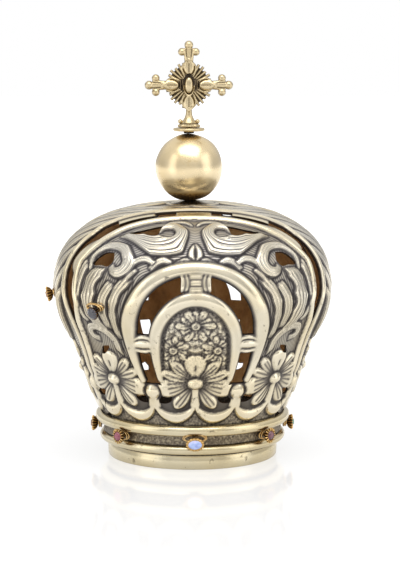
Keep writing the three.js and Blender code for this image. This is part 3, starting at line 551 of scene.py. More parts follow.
def add_petal(relief, x, y, row, turn, height):
    way, across, inside, half = petal(x, y, turn, row["start"], row["length"], row["half_width"])
    dish = 1 - 0.25 * np.exp(-(across / 0.3) ** 2) * smoothstep(0.9, 0.3, way)
    top = height * half_round(across, 2.6) * dish * (0.7 + 0.3 * smoothstep(0, 0.7, way))
    # Each petal is darker towards its root by the boss: painted shade
    relief.cover(inside > 0, np.where(inside > 0, top, 0), POLISHED + 0.25 * smoothstep(0.4, 0, way),
                 lines=2 * across + 0.5, engraved=0.12 * smoothstep(0.8, 0.4, way))
    first, last = row["line"]
    for line in row["grooves"]:
        distance = (across - line) * half
        relief.groove(distance, 0.5, 0.55, (inside > 0) & (way > first) & (way < last))
    return inside


def add_petals(relief, azimuth):
    x, y = relief.local(azimuth, FLOWER_RISE)
    # The sunk ground round the flower is dark: patina and painted shade
    relief.sink((np.hypot(x, y) < FLOWER_GROUND) & (relief.height < 1.2), 0.2, 0.76)
    solid = np.full(x.shape, -FAR)
    for row in PETALS:
        for turn in {row["turn"], -row["turn"]}:
            solid = np.maximum(solid, add_petal(relief, x, y, row, turn, PETAL_HEIGHT))
    return solid


def add_flower_boss(relief, azimuth):
    """The oval boss of a flower in its dark ring, with the stem down to the strap."""
    x, y = relief.local(azimuth, FLOWER_RISE)
    half = STEM_HALF_WIDTH + 0.12 * np.clip(-y - 7, 0, 9)
    stem = np.minimum(half - np.abs(x), np.minimum(-y - 2, y + 15.5))
    relief.cover(stem > 0, 1.6 * half_round(x / half, 3), POLISHED)
    radius = np.hypot(x / FLOWER_BOSS["half_width"], y / FLOWER_BOSS["half_height"])
    ring = 1 + FLOWER_BOSS["ring"] / FLOWER_BOSS["half_width"]
    relief.sink((radius < ring) & (stem < 0), 0.9, 0.84)
    relief.cover(radius < 1, FLOWER_BOSS["height"] * half_round(radius) + 0.3, POLISHED)
    return np.maximum(stem, (ring - radius) * FLOWER_BOSS["half_height"])


def add_boss(relief, azimuth):
    """An oval boss on a stem between two scallops."""
    x, y = relief.local(azimuth, BOSS["rise"])
    radius = np.hypot(x / BOSS["half_width"], y / BOSS["half_height"])
    ring = 1 + SCALLOP["ring"] / BOSS["half_width"]
    relief.sink((radius < ring) & (y > -2), 0.3, 0.8)
    half = BOSS["stem_half_width"] + 0.12 * np.clip(-y - 3, 0, 8)
    stem = np.minimum(half - np.abs(x), np.minimum(-y - 2, y + 10.5))
    relief.cover(stem > 0, 1.5 * half_round(x / half, 3), POLISHED)
    relief.cover(radius < 1, BOSS["height"] * half_round(radius), POLISHED)
    return np.maximum((ring - radius) * BOSS["half_width"], stem)


# Scalloped foot of the gallery
def scallop_edges(azimuth):
    """Rises of the lower and the upper edge of the scalloped strap."""
    period = FLOWER_STEP / 2
    share = np.mod(azimuth, period) / period * 2 - 1
    bow = 1 - np.sqrt(np.clip(1 - share ** 2, 0, 1))
    return SCALLOP["low"] + SCALLOP["low_depth"] * bow, SCALLOP["high"] + SCALLOP["high_depth"] * bow


def add_gallery(relief):
    low, high = scallop_edges(relief.azimuth)
    ring = high + SCALLOP["ring"]
    solid = ring - relief.rise
    outside = np.full(solid.shape, FAR)
    flowers = np.arange(-180, 180, FLOWER_STEP)
    for azimuth in flowers:
        solid = np.maximum(solid, add_petals(relief, azimuth))
        x, y = relief.local(azimuth, FLOWER_RISE)
        reach = np.hypot((np.abs(x) - CRESCENT["across"]) / CRESCENT["half_width"],
                         (y + CRESCENT["drop"]) / CRESCENT["half_height"])
        outside = np.minimum(outside, (reach - 1) * CRESCENT["half_height"])
    relief.sink((relief.rise < FLOWER_RISE - 5) & (relief.height < 0.3), 0, 0.78)
    # The sunk ground above the strap is dark: patina and painted shade
    relief.sink(relief.rise < ring, 0.2, 0.76)
    for azimuth in flowers:
        solid = np.maximum(solid, add_flower_boss(relief, azimuth))
        solid = np.maximum(solid, add_boss(relief, azimuth + FLOWER_STEP / 2))
    below = relief.rise < low
    relief.sink(below, 0, SPANDREL)
    relief.matting[below] = 1
    strap = (2 * relief.rise - low - high) / (high - low)
    relief.cover(np.abs(strap) < 1, SCALLOP["height"] * half_round(strap, 4), POLISHED)
    relief.pierce(np.maximum(solid, outside))


# Chased ground, and leaflets and sprays of the lunette
def chase(relief, x, y):
    """Wavy lines round the arches all over the ground."""
    up = y - CHASING["centre"]
    angle = np.arctan2(np.abs(x), up)
    waves = sum(depth * np.sin(count * angle) for count, depth in CHASING["waves"])
    relief.lines = np.hypot(x, up) / CHASING["step"] + waves
    relief.engraved[:] = 1
    relief.tarnish_and_shade[:] = CHASING["tarnish_and_shade"]


def add_leaflets(relief, x, y, field):
    """Narrow bowed leaves in uneven rows under the inner arch, mirrored about x = 0."""
    rng = np.random.default_rng(LUNETTE["seed"])
    for reach in np.arange(*LUNETTE["reach"], LUNETTE["row"]):
        step = math.degrees(LUNETTE["step"] / reach)
        for place in np.arange(rng.uniform(0, step), LUNETTE["turn"], step):
            angle = math.radians(place)
            across, rise = reach * math.sin(angle), LUNETTE["centre"] + reach * math.cos(angle)
            turn = 100 + place + rng.uniform(-1, 1) * LUNETTE["scatter"]
            length = LUNETTE["length"] * rng.uniform(0.8, 1.2)
            way, share = leaflet(np.abs(x) - across, y - rise, turn, length, LUNETTE["half_width"])
            top = LUNETTE["height"] * half_round(share) * (0.6 + 0.4 * smoothstep(0, 0.5, way))
            relief.cover((np.abs(share) < 1) & field, top * rng.uniform(0.8, 1.2), LEAF_BRIGHT, outline=0.56,
                         lines=1.6 * share + 0.5, engraved=0.8)


def leaflet(x, y, turn, length, half_width):
    """Share along and share across a bowed leaf pointed at both ends."""
    angle = math.radians(turn)
    way = np.clip((x * math.sin(angle) + y * math.cos(angle)) / length, 0, 1)
    round_end = np.sin(np.pi * way)
    aside = x * math.cos(angle) - y * math.sin(angle) - 0.14 * length * round_end
    return way, aside / (half_width * round_end ** 0.7 + 1e-3)


def add_lunette(relief, centre, gap):
    """A stippled ground in a dark border, with close leaflets and three sprays; gap is negative under the arch."""
    window = (gap < 0.5) & (relief.rise > 24) & (relief.height < ARCH_HEIGHT)
    relief.sink(window, 0, 0.28)
    relief.matting = np.where(window, 1.0, relief.matting)
    relief.tarnish_and_shade = np.where(window & (gap > -LUNETTE["border"]), 0.72, relief.tarnish_and_shade)
    field = window & (gap < -LUNETTE["border"])
    x, y = relief.local(centre, 0)
    add_leaflets(relief, x, y, field)
    for spray in SPRAYS:
        add_spray(relief, x - spray["across"], y - spray["rise"], spray, field)


def add_spray(relief, x, y, spray, field):
    """Leaves of three lobes round a small ring with a dark eye."""
    size, leaves = spray["size"], spray["leaves"]
    for k in range(leaves):
        for offset, share in SPRAY_LOBES:
            turn = spray["turn"] + 360 * k / leaves + offset
            way, across, inside, half = petal(x, y, turn, 0.18 * size, 0.8 * size * share, 0.17 * size)
            top = 1.3 * share * half_round(across, 2.6) * (0.6 + 0.4 * smoothstep(0, 0.6, way))
            # Each leaf is darker towards its root by the ring: painted shade
            relief.cover((inside > 0) & field, top, LEAF_BRIGHT + 0.3 * smoothstep(0.4, 0, way), outline=0.8)
            relief.groove(across * half, 0.3, 0.3, (inside > 0) & field & (way < 0.75))
    radius = np.hypot(x, y)
    relief.sink(radius < 2.1, 0.7)
    ring = (radius - 1.5) / 0.5
    relief.cover(np.abs(ring) < 1, 1.3 * half_round(ring) + 0.6, 0.2)
    relief.cover(radius < 0.5, 1.6, 0.2)


# Edges and rims
def edge_distance(relief, piece, sign):
    """Distance inside a piece's edge along the wall; sign 1 keeps what lies beyond the edge, -1 what lies within."""
    height = relief.points[..., 2]
    away = np.abs(relief.points[..., 1])
    value = away - np.interp(height, EDGE_HEIGHTS, EDGES[piece])
    slope = np.interp(height, EDGE_HEIGHTS, np.gradient(EDGES[piece], EDGE_HEIGHTS))
    normal = relief.normals
    tilt = np.sign(relief.points[..., 1]) * normal[..., 1] - slope * normal[..., 2]
    steepness = np.sqrt(np.clip(1 + slope ** 2 - tilt ** 2, 0.05, None))
    return sign * value / steepness


def add_rim(relief, distance):
    """A half-round bead along the edge."""
    height = relief.points[..., 2]
    above = (height > RIM["foot"] - 8) & (distance > -2)
    fade = smoothstep(RIM["foot"] - 8, RIM["foot"] + 6, height)
    bead = distance / RIM["width"] * 2 - 1
    relief.cover((bead < 1) & above, (0.5 + RIM["height"] * half_round(bead, 2.6)) * fade, POLISHED)
    relief.groove(distance, 0.5, 0.2, above)


def add_panel(relief, centre, piece):
    x, y = relief.local(centre, 0)
    chase(relief, x, y)
    for leaf in LEAVES:
        for side in (-1, 1):
            add_leaf(relief, centre, side, leaf)
    for opening in OPENINGS:
        outline = spline([*opening["outline"], opening["outline"][0]], 40)[:-1]
        scale = math.radians(60)
        for side in (-1, 1):
            turn = side * ((relief.azimuth - centre + 180) % 360 - 180)
            relief.pierce(outline_distance(outline * (scale, 1), turn * scale, relief.rise))
    add_lunette(relief, centre, add_arches(relief, centre))
    add_gallery(relief)
    distance = edge_distance(relief, piece, 1)
    add_rim(relief, distance)
    first = rise_at_radius(EDGES[piece][-1] + TOP_TAB["overlap"])
    last = rise_at_radius(EDGES["arch"][-1] + TOP_TAB["gap"])
    tab = np.minimum(TOP_TAB["half_width"] - np.abs(x), np.minimum(relief.rise - first, last - relief.rise))
    relief.cover(tab > 0, 0.5, POLISHED)
    solid = np.maximum(distance, tab)
    for tongue in TONGUES if piece == "front" else ():
        height = relief.points[..., 2]
        reach = TONGUE_REACH * half_round((height - tongue["middle"]) / tongue["half"], 3)
        inside = np.where(tongue["side"] * x > 0, distance + reach, -FAR)
        shade = 0.5 * smoothstep(0.2, 0.9, (height - tongue["middle"]) / tongue["half"])
        relief.cover((inside > 0) & (distance < 0), 0.3, POLISHED + shade)
        solid = np.maximum(solid, inside)
    relief.pierce(solid)


def add_saddle(relief):
    """Feathered leaves in pairs up the middle of each side, and a plain round plate under the orb."""
    chase(relief, *relief.local(np.where(relief.azimuth > 0, 90, -90), 0))
    span = (SADDLE["last"] - SADDLE["first"]) / SADDLE["pairs"]
    for middle in (-90, 90):
        for k in range(SADDLE["pairs"]):
            foot = SADDLE["first"] + k * span
            for side in (-1, 1):
                leaf = {**SADDLE_LEAF, "height": SADDLE_HEIGHTS["others" if k else "lowest"]}
                for edge in ("outer", "inner"):
                    leaf[edge] = [beside(0, across, foot + up * span / 13) for across, up in SADDLE_LEAF[edge]]
                add_leaf(relief, middle, side, leaf)
        x, _ = relief.local(middle, 0)
        spine = (np.abs(x) < 1.1) & (relief.rise > 42) & (relief.rise < rise_at_radius(SADDLE["plate"]))
        relief.cover(spine, 1.7 * half_round(x / 1.1), POLISHED)
    radius = np.hypot(relief.points[..., 0], relief.points[..., 1])
    # The plate is a little darker than polished metal: painted shade under the orb
    relief.cover((radius < SADDLE["plate"]) & (relief.rise > 100), 0.9, POLISHED + 0.06)
    relief.groove(radius - SADDLE["plate"] + 2.2, 0.4, 0.4, relief.rise > 100)
    add_gallery(relief)
    distance = edge_distance(relief, "arch", -1)
    add_rim(relief, distance)
    relief.groove(distance - RIM["width"] - 0.9, 0.9, 0.4, (relief.rise > 20) & (relief.rise < 52))
    across, forward, height = np.abs(relief.points[..., 0]), -relief.points[..., 1], relief.points[..., 2]
    lip = np.minimum.reduce([across - LIP["from"], LIP["to"] - across, LIP["edge"] - forward, forward])
    lip = np.where(height > LIP["above"], lip, -FAR)
    relief.cover((lip > 0) & (distance < 0), 0.8, POLISHED)
    relief.groove(distance + 0.4, 0.5, 0.2, lip > 0)
    relief.pierce(np.maximum(distance, lip))


# Meshes from grids
def kept_triangles(keep):
    """Triangles of a grid cut along keep = 0, with each vertex as two nodes and the share between them."""
    rows, columns = keep.shape
    value = keep.ravel().copy()
    value[np.abs(value) < 0.04] = 0.04
    node = np.arange(rows * columns).reshape(rows, columns)
    a, b, c, d = (part.ravel() for part in (node[:-1, :-1], node[:-1, 1:], node[1:, 1:], node[1:, :-1]))
    triangles = np.vstack([np.column_stack([a, b, c]), np.column_stack([a, c, d])])
    positive = value[triangles] > 0
    count = positive.sum(1)
    size = rows * columns

    def cut(p, q):
        low, high = np.minimum(p, q), np.maximum(p, q)
        return size + low * size + high

    whole = triangles[count == 3]
    faces = [whole]
    for kept in (1, 2):
        rows_here = triangles[count == kept]
        odd = np.argmax(positive[count == kept] == (kept == 1), axis=1)
        pick = np.arange(len(rows_here))
        p, q, r = (rows_here[pick, (odd + k) % 3] for k in range(3))
        if kept == 1:
            faces.append(np.column_stack([p, cut(p, q), cut(p, r)]))
        else:
            faces.append(np.column_stack([q, r, cut(p, r)]))
            faces.append(np.column_stack([q, cut(p, r), cut(p, q)]))
    faces = np.vstack(faces)
    keys, index = np.unique(faces.ravel(), return_inverse=True)
    made = keys >= size
    first = np.where(made, (keys - size) // size, keys)
    second = np.where(made, (keys - size) % size, keys)
    drop = value[first] - value[second]
    share = np.where(made, value[first] / np.where(drop == 0, 1, drop), 0)
    return index.reshape(faces.shape), first, second, share


def boundary(faces):
    """Directed edges that only one triangle uses."""
    edges = np.vstack([faces[:, [0, 1]], faces[:, [1, 2]], faces[:, [2, 0]]])
    size = faces.max() + 1
    forward = edges[:, 0] * size + edges[:, 1]
    backward = edges[:, 1] * size + edges[:, 0]
    return edges[~np.isin(forward, backward)]


def mesh_object(name, vertices, faces, materials, material_index=None, attributes=None, sharp=55):
    """An object about the crown's axis from millimetres, smooth but for edges sharper than the angle."""
    mesh = bpy.data.meshes.new(name)
    placed = np.asarray(vertices, float) * MM + AXIS
    mesh.from_pydata(placed.tolist(), [], [list(face) for face in faces])
    for material in materials:
        mesh.materials.append(material)
    if material_index is not None:
        mesh.polygons.foreach_set("material_index", np.asarray(material_index, np.int32))
    for key, values in (attributes or {}).items():
        layer = mesh.attributes.new(key, "FLOAT", "POINT")
        layer.data.foreach_set("value", np.asarray(values, np.float32))
    mesh.polygons.foreach_set("use_smooth", np.ones(len(mesh.polygons), bool))
    mesh.set_sharp_from_angle(angle=math.radians(sharp))
    mesh.update()
    obj = bpy.data.objects.new(name, mesh)
    bpy.context.scene.collection.objects.link(obj)
    return obj


def two_faced(name, relief, front, back, materials):
    """A closed sheet with a worked face, a back and the walls of its openings between them."""
    faces, first, second, share = kept_triangles(relief.keep)

    def at(field):
        weight = share if field.ndim == 2 else share[:, None]
        flat = field.reshape(-1, *field.shape[2:])
        return flat[first] * (1 - weight) + flat[second] * weight

    count = len(first)
    edges = boundary(faces)
    walls = np.vstack([np.column_stack([edges[:, 1], edges[:, 0], edges[:, 0] + count]),
                       np.column_stack([edges[:, 1], edges[:, 0] + count, edges[:, 1] + count])])
    triangles = np.vstack([faces, faces[:, ::-1] + count, walls]).tolist()
    slots = np.zeros(len(triangles))
    slots[len(faces):2 * len(faces)] = len(materials) // 2
    slots[2 * len(faces):] = len(materials) - 1
    fields = {"tarnish_and_shade": np.clip(relief.tarnish_and_shade, 0, 1), "matting": relief.matting, "lines": relief.lines,
              "engraved": relief.engraved}
    attributes = {key: np.tile(at(field), 2) for key, field in fields.items()}
    vertices = np.vstack([at(front), at(back)])
    return mesh_object(name, vertices, triangles, materials, slots, attributes)


def dome_piece(name, relief, materials):
    """The embossed sheet, darker in the hollows of its relief and lighter on its heights as patina and painted shade,
    with the hollow of its relief on the inside.
    """
    relief.thin()
    height = blurred(relief.height, 1)
    # Painted shade: hollows of the relief darkened and heights lightened, over the patina
    hollow = blurred(relief.height, 10) - height
    relief.tarnish_and_shade = np.clip(relief.tarnish_and_shade + 0.35 * np.clip(hollow, -0.4, 1), 0, 1)
    front = relief.points + relief.normals * height[..., None]
    inside = 0.6 * blurred(relief.height, 3) - SHEET
    back = relief.points + relief.normals * np.minimum(inside, height - 0.5)[..., None]
    return two_faced(name, relief, front, back, materials)


# Turned pieces
def turned(name, rows, sides, material, wobble=0.0, lobes=(0, 0, 0), aside=0.0):
    """A turned body from rows of radius, height and tarnish with painted shade, out of round by a wobble or lobed up
    to a height.
    """
    rows = np.asarray(rows, float)
    angle = np.linspace(0, 2 * np.pi, sides, endpoint=False)
    radius = rows[:, :1] + wobble * (np.sin(3 * angle) + 0.6 * np.sin(5 * angle + 1)) * (rows[:, :1] > 0)
    count, depth, top = lobes
    radius = radius * (1 + depth * np.cos(count * angle) * (rows[:, 1:2] < top))
    vertices = np.stack([aside + radius * np.sin(angle), -radius * np.cos(angle), rows[:, 1:2] + 0 * angle], axis=-1)
    faces = []
    for i in range(len(rows) - 1):
        for k in range(sides):
            n = (k + 1) % sides
            faces.append((i * sides + k, i * sides + n, (i + 1) * sides + n, (i + 1) * sides + k))
    tarnish_and_shade = np.repeat(rows[:, 2], sides)
    obj = mesh_object(name, vertices.reshape(-1, 3), faces, [material], None,
                      {"tarnish_and_shade": tarnish_and_shade, "matting": (tarnish_and_shade > 0.6) * 1.0}, sharp=50)
    return obj


# Materials
def colour_ramp(nodes, stops):
    ramp = nodes.new("ShaderNodeValToRGB")
    elements = ramp.color_ramp.elements
    while len(elements) < len(stops):
        elements.new(0.5)
    for element, (position, colour) in zip(elements, stops):
        element.position = position
        element.color = (*colour, 1)
    return ramp


def new_material(name, metallic):
    material = bpy.data.materials.new(name)
    material.use_nodes = True
    nodes, links = material.node_tree.nodes, material.node_tree.links
    shader = nodes["Principled BSDF"]
    shader.inputs["Metallic"].default_value = metallic
    return material, nodes, links, shader


def noise(nodes, links, scale, detail, roughness=0.55, stretch=None):
    coordinates = nodes.new("ShaderNodeTexCoord")
    texture = nodes.new("ShaderNodeTexNoise")
    texture.inputs["Scale"].default_value = scale
    texture.inputs["Detail"].default_value = detail
    texture.inputs["Roughness"].default_value = roughness
    if stretch:
        mapping = nodes.new("ShaderNodeMapping")
        mapping.inputs["Scale"].default_value = stretch
        links.new(coordinates.outputs["Object"], mapping.inputs["Vector"])
        links.new(mapping.outputs["Vector"], texture.inputs["Vector"])
    else:
        links.new(coordinates.outputs["Object"], texture.inputs["Vector"])
    return texture.outputs["Fac"]


def attribute(nodes, key):
    node = nodes.new("ShaderNodeAttribute")
    node.attribute_name = key
    return node.outputs["Fac"]


def combine(nodes, links, operation, first, second=None, third=None):
    node = nodes.new("ShaderNodeMath")
    node.operation = operation
    for socket, value in zip(node.inputs, (first, second, third)):
        if isinstance(value, (int, float)):
            socket.default_value = value
        elif value is not None:
            links.new(value, socket)
    return node.outputs[0]


def span(nodes, links, value, low, high, to_low, to_high):
    node = nodes.new("ShaderNodeMapRange")
    links.new(value, node.inputs["Value"])
    for key, number in (("From Min", low), ("From Max", high), ("To Min", to_low), ("To Max", to_high)):
        node.inputs[key].default_value = number
    return node.outputs["Result"]


def worn_gilt(name, stops, gloss, warmth, bare_and_top_lit=None):
    """Worn gilt metal: tarnish and painted shade from the mesh, patches of thin gilding, fine scratches and matted
    ground.

    Between two heights the colour of engraved forms is whitened, partly gilding worn to silver and partly painted
    light from above.
    """
    material, nodes, links, shader = new_material(name, 1.0)
    tarnish_and_shade, matting, lines, engraved = (
        attribute(nodes, key) for key in ("tarnish_and_shade", "matting", "lines", "engraved"))
    fraction = combine(nodes, links, "SUBTRACT", combine(nodes, links, "FRACT", lines), 0.5)
    cut = span(nodes, links, combine(nodes, links, "ABSOLUTE", fraction), 0.3, 0.45, 0, 1)
    cut = combine(nodes, links, "MULTIPLY", cut, engraved)
    patches = noise(nodes, links, 60, 5)
    specks = noise(nodes, links, 900, 3, 0.7)
    spots = span(nodes, links, noise(nodes, links, 260, 4, 0.65), 0.6, 0.72, 0, 0.55)
    # The mesh's value holds painted shade besides tarnish; patches and spots add stains
    stain_and_shade = combine(nodes, links, "MULTIPLY_ADD", patches, 0.16, combine(nodes, links, "SUBTRACT", tarnish_and_shade, 0.08))
    stain_and_shade = combine(nodes, links, "MAXIMUM", stain_and_shade, spots)
    stain_and_shade = combine(nodes, links, "MULTIPLY_ADD", cut, 0.55, stain_and_shade)
    grain = combine(nodes, links, "MULTIPLY", combine(nodes, links, "SUBTRACT", specks, 0.5), matting)
    stain_and_shade = combine(nodes, links, "MULTIPLY_ADD", grain, 1.4, stain_and_shade)
    ramp = colour_ramp(nodes, stops)
    links.new(stain_and_shade, ramp.inputs["Fac"])
    warm = nodes.new("ShaderNodeMix")
    warm.data_type = "RGBA"
    warm.blend_type = "MULTIPLY"
    links.new(span(nodes, links, noise(nodes, links, 28, 3), 0.4, 0.62, 0, 1), warm.inputs["Factor"])
    links.new(ramp.outputs["Color"], warm.inputs["A"])
    warm.inputs["B"].default_value = (*warmth, 1)
    colour = warm.outputs["Result"]
    # Whiter higher up: worn gilding and painted light from above
    if bare_and_top_lit:
        place = nodes.new("ShaderNodeTexCoord")
        split = nodes.new("ShaderNodeSeparateXYZ")
        links.new(place.outputs["Object"], split.inputs["Vector"])
        silver_and_top_light_mix = nodes.new("ShaderNodeMix")
        silver_and_top_light_mix.data_type = "RGBA"
        silver_and_top_light_mix.blend_type = "MULTIPLY"
        worn_and_top_lit = combine(nodes, links, "MULTIPLY", span(nodes, links, split.outputs["Z"], *bare_and_top_lit, 0, 1), engraved)
        links.new(worn_and_top_lit, silver_and_top_light_mix.inputs["Factor"])
        links.new(colour, silver_and_top_light_mix.inputs["A"])
        silver_and_top_light_mix.inputs["B"].default_value = (*SILVER_AND_TOP_LIGHT, 1)
        colour = silver_and_top_light_mix.outputs["Result"]
    links.new(colour, shader.inputs["Base Color"])
    rough = span(nodes, links, stain_and_shade, 0, 1, gloss, 0.6)
    smears = combine(nodes, links, "MULTIPLY_ADD", noise(nodes, links, 140, 6), 0.14, combine(nodes, links, "SUBTRACT", rough, 0.07))
    links.new(smears, shader.inputs["Roughness"])
    scratches = noise(nodes, links, 500, 4, 0.6, (1, 1, 0.12))
    pits = combine(nodes, links, "MULTIPLY", specks, matting)
    relief = combine(nodes, links, "MULTIPLY_ADD", pits, 3.0, combine(nodes, links, "MULTIPLY", scratches, 0.35))
    relief = combine(nodes, links, "MULTIPLY_ADD", cut, -1.2, relief)
    bump = nodes.new("ShaderNodeBump")
    bump.inputs["Strength"].default_value = 0.35
    bump.inputs["Distance"].default_value = 0.0004
    links.new(relief, bump.inputs["Height"])
    links.new(bump.outputs["Normal"], shader.inputs["Normal"])
    return material


def browned(name, low, middle, high):
    """Unpolished metal in brown streaks and patches; the colour is partly tarnish and partly painted shade."""
    material, nodes, links, shader = new_material(name, 0.55)
    streaks = noise(nodes, links, 70, 7, 0.65, (1, 1, 0.35))
    ramp = colour_ramp(nodes, ((0.25, low), (0.5, middle), (0.75, high)))
    links.new(streaks, ramp.inputs["Fac"])
    links.new(ramp.outputs["Color"], shader.inputs["Base Color"])
    links.new(span(nodes, links, streaks, 0.2, 0.8, 0.7, 0.42), shader.inputs["Roughness"])
    bump = nodes.new("ShaderNodeBump")
    bump.inputs["Strength"].default_value = 0.3
    bump.inputs["Distance"].default_value = 0.0006
    links.new(streaks, bump.inputs["Height"])
    links.new(bump.outputs["Normal"], shader.inputs["Normal"])
    return material


def faceted_stone(name, colour, deep):
    material, nodes, links, shader = new_material(name, 0.0)
    cloud = noise(nodes, links, 700, 3)
    ramp = colour_ramp(nodes, ((0.35, deep), (0.7, colour)))
    links.new(cloud, ramp.inputs["Fac"])
    links.new(ramp.outputs["Color"], shader.inputs["Base Color"])
    shader.inputs["Roughness"].default_value = 0.08
    shader.inputs["IOR"].default_value = 1.7
    shader.inputs["Coat Weight"].default_value = 0.6
    return material


def opal():
    """Milky blue with patches of deeper blue, violet and pale blue-white."""
    material, nodes, links, shader = new_material("opal", 0.0)
    fire = noise(nodes, links, 420, 2, 0.4)
    ramp = colour_ramp(nodes, ((0.3, (0.30, 0.36, 0.72)), (0.45, (0.42, 0.55, 0.86)), (0.55, (0.62, 0.60, 0.88)),
                               (0.68, (0.74, 0.84, 0.92))))
    links.new(fire, ramp.inputs["Fac"])
    links.new(ramp.outputs["Color"], shader.inputs["Base Color"])
    shader.inputs["Roughness"].default_value = 0.12
    shader.inputs["Coat Weight"].default_value = 0.5
    return material


# Whitening of engraved forms higher up: silver under worn gilding and painted light from above
SILVER_AND_TOP_LIGHT = (1.12, 1.16, 1.28)
SILVER_GILT = worn_gilt("silver_gilt", (
    (0.0, (0.78, 0.71, 0.555)), (0.3, (0.52, 0.47, 0.36)), (0.62, (0.20, 0.18, 0.16)), (1.0, (0.05, 0.045, 0.044)),
), 0.18, (1.0, 0.95, 0.84), bare_and_top_lit=(0.06, 0.112))
BAND_GILT = worn_gilt("band_gilt", (
    (0.0, (0.70, 0.62, 0.435)), (0.3, (0.46, 0.40, 0.27)), (0.62, (0.18, 0.15, 0.115)), (1.0, (0.045, 0.04, 0.036)),
), 0.2, (1.0, 0.95, 0.84))
ORB_GILT = worn_gilt("orb_gilt", (
    (0.0, (0.74, 0.62, 0.41)), (0.3, (0.66, 0.53, 0.32)), (0.62, (0.30, 0.19, 0.07)), (1.0, (0.06, 0.035, 0.015)),
), 0.26, (1.0, 0.95, 0.84))
CAST_GILT = worn_gilt("cast_gilt", (
    (0.0, (0.62, 0.52, 0.34)), (0.3, (0.44, 0.36, 0.22)), (0.62, (0.13, 0.10, 0.065)), (1.0, (0.035, 0.028, 0.025)),
), 0.26, (1.0, 0.95, 0.84))
COLLET_GOLD = worn_gilt("collet_gold", (
    (0.0, (0.74, 0.55, 0.29)), (0.3, (0.50, 0.32, 0.12)), (0.62, (0.14, 0.07, 0.02)), (1.0, (0.025, 0.014, 0.008)),
), 0.22, (1.0, 0.92, 0.78))
# The inside is painted brown as gilt in shade, with streaks of tarnish
BROWN_AND_SHADE_INSIDE = browned("brown_and_shade_inside", (0.28, 0.16, 0.065), (0.62, 0.39, 0.17), (0.85, 0.6, 0.3))
# Near-black walls of the openings: grime and painted shade in the cuts
GRIME_AND_SHADE_EDGE = browned("grime_and_shade_edge", (0.01, 0.005, 0.002), (0.025, 0.013, 0.005), (0.05, 0.027, 0.01))
STONE_MATERIALS = {
    "opal": opal(),
    "red_stone": faceted_stone("red_stone", (0.36, 0.05, 0.10), (0.15, 0.012, 0.03)),
    "garnet": faceted_stone("garnet", (0.20, 0.03, 0.06), (0.05, 0.006, 0.012)),
    "brown_stone": faceted_stone("brown_stone", (0.42, 0.20, 0.06), (0.14, 0.05, 0.015)),
    "green_stone": faceted_stone("green_stone", (0.10, 0.36, 0.20), (0.02, 0.10, 0.05)),
    "blue_stone": faceted_stone("blue_stone", (0.035, 0.032, 0.045), (0.012, 0.012, 0.02)),
}


def keep_piece(obj, node):
    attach(obj, "root")
    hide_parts(node)


# Dome: worked face, inside and cut edges
DOME_MATERIALS = [SILVER_GILT, BROWN_AND_SHADE_INSIDE, GRIME_AND_SHADE_EDGE]
for piece, centre in (("front", 0), ("back", 180)):
    relief = panel_relief(centre)
    add_panel(relief, centre, piece)
    keep_piece(dome_piece(f"{piece}_panel_sheet", relief, DOME_MATERIALS), f"{piece}_panel")
relief = arch_relief()
add_saddle(relief)
keep_piece(dome_piece("side_arch_sheet", relief, DOME_MATERIALS), "side_arch")


# Moulded band: flange, lower bead, dark channel and upper bead
def bead(low, high, root, swell, tarnish_and_shade=POLISHED):
    angle = np.linspace(0, np.pi, 13)
    return [(root + swell * math.sin(a), low + (high - low) * (1 - math.cos(a)) / 2, tarnish_and_shade) for a in angle]


# The near-black rows at the feet of the beads are painted shadow between the mouldings
band_rows = [
    (42.8, 0, 0.2), (44.3, 0, 0.3), (44.6, 0.5, 0.12), (44.8, 3.6, POLISHED), (44.6, 6.9, 0.1), (44.3, 7.2, 0.9),
    (44.2, 8.0, 0.95), *bead(8.1, 13.0, 46.2, 2.8), (47.0, 13.1, 0.95), (46.9, 13.5, 0.62), (46.9, 17.6, 0.62),
    (47.0, 18.0, 0.95), *bead(18.1, 23.7, 48.8, 2.7), (48.8, 22.3, 0.6), (46, 22.3, 1), (44.6, 12, 1),
    (42.8, 0, 1),
]
keep_piece(turned("moulded_band", band_rows, 240, BAND_GILT, wobble=0.05), "base_band")

# Orb, neck and disc
ORB = {"base": 134.0, "radius": 17.5, "dents": 0.12}
NECK = {"base": 169.3, "radius": 2.6, "height": 1.1, "disc_radius": 8.3, "disc_thickness": 1.7}


def orb_rows():
    """Radius, height and tarnish with painted shade up the ball, darker where it meets its neighbours: painted shade
    at both ends, with a painted reflection of the dark dome at the bottom.
    """
    rows = []
    for angle in np.linspace(0, np.pi, 73):
        height = ORB["base"] + ORB["radius"] * (1 - math.cos(angle))
        # Painted shade and reflection: dark at the bottom over the dome and at the top under the neck
        ends = 0.9 * smoothstep(0.95, 0.55, angle) + 0.6 * smoothstep(np.pi - 0.24, np.pi - 0.1, angle)
        rows.append((ORB["radius"] * math.sin(angle), height, POLISHED + ends))
    return rows


def disc_rows():
    low, mid = NECK["base"], NECK["base"] + NECK["height"]
    radius, half = NECK["disc_radius"], NECK["disc_thickness"] / 2
    rows = [(0, low, 0.8), (NECK["radius"] + 0.4, low, 0.8), (NECK["radius"], low + 0.5, 0.7), (NECK["radius"], mid, 0.8)]
    for angle in np.linspace(-np.pi / 2, np.pi / 2, 9):
        rows.append((radius - half + half * math.cos(angle), mid + half + half * math.sin(angle), POLISHED))
    rows += [(radius - 1.6, mid + 2 * half - 0.25, 0.4), (5.6, mid + 2 * half - 0.1, 0.3), (0, mid + 2 * half - 0.1, 0.7)]
    return rows


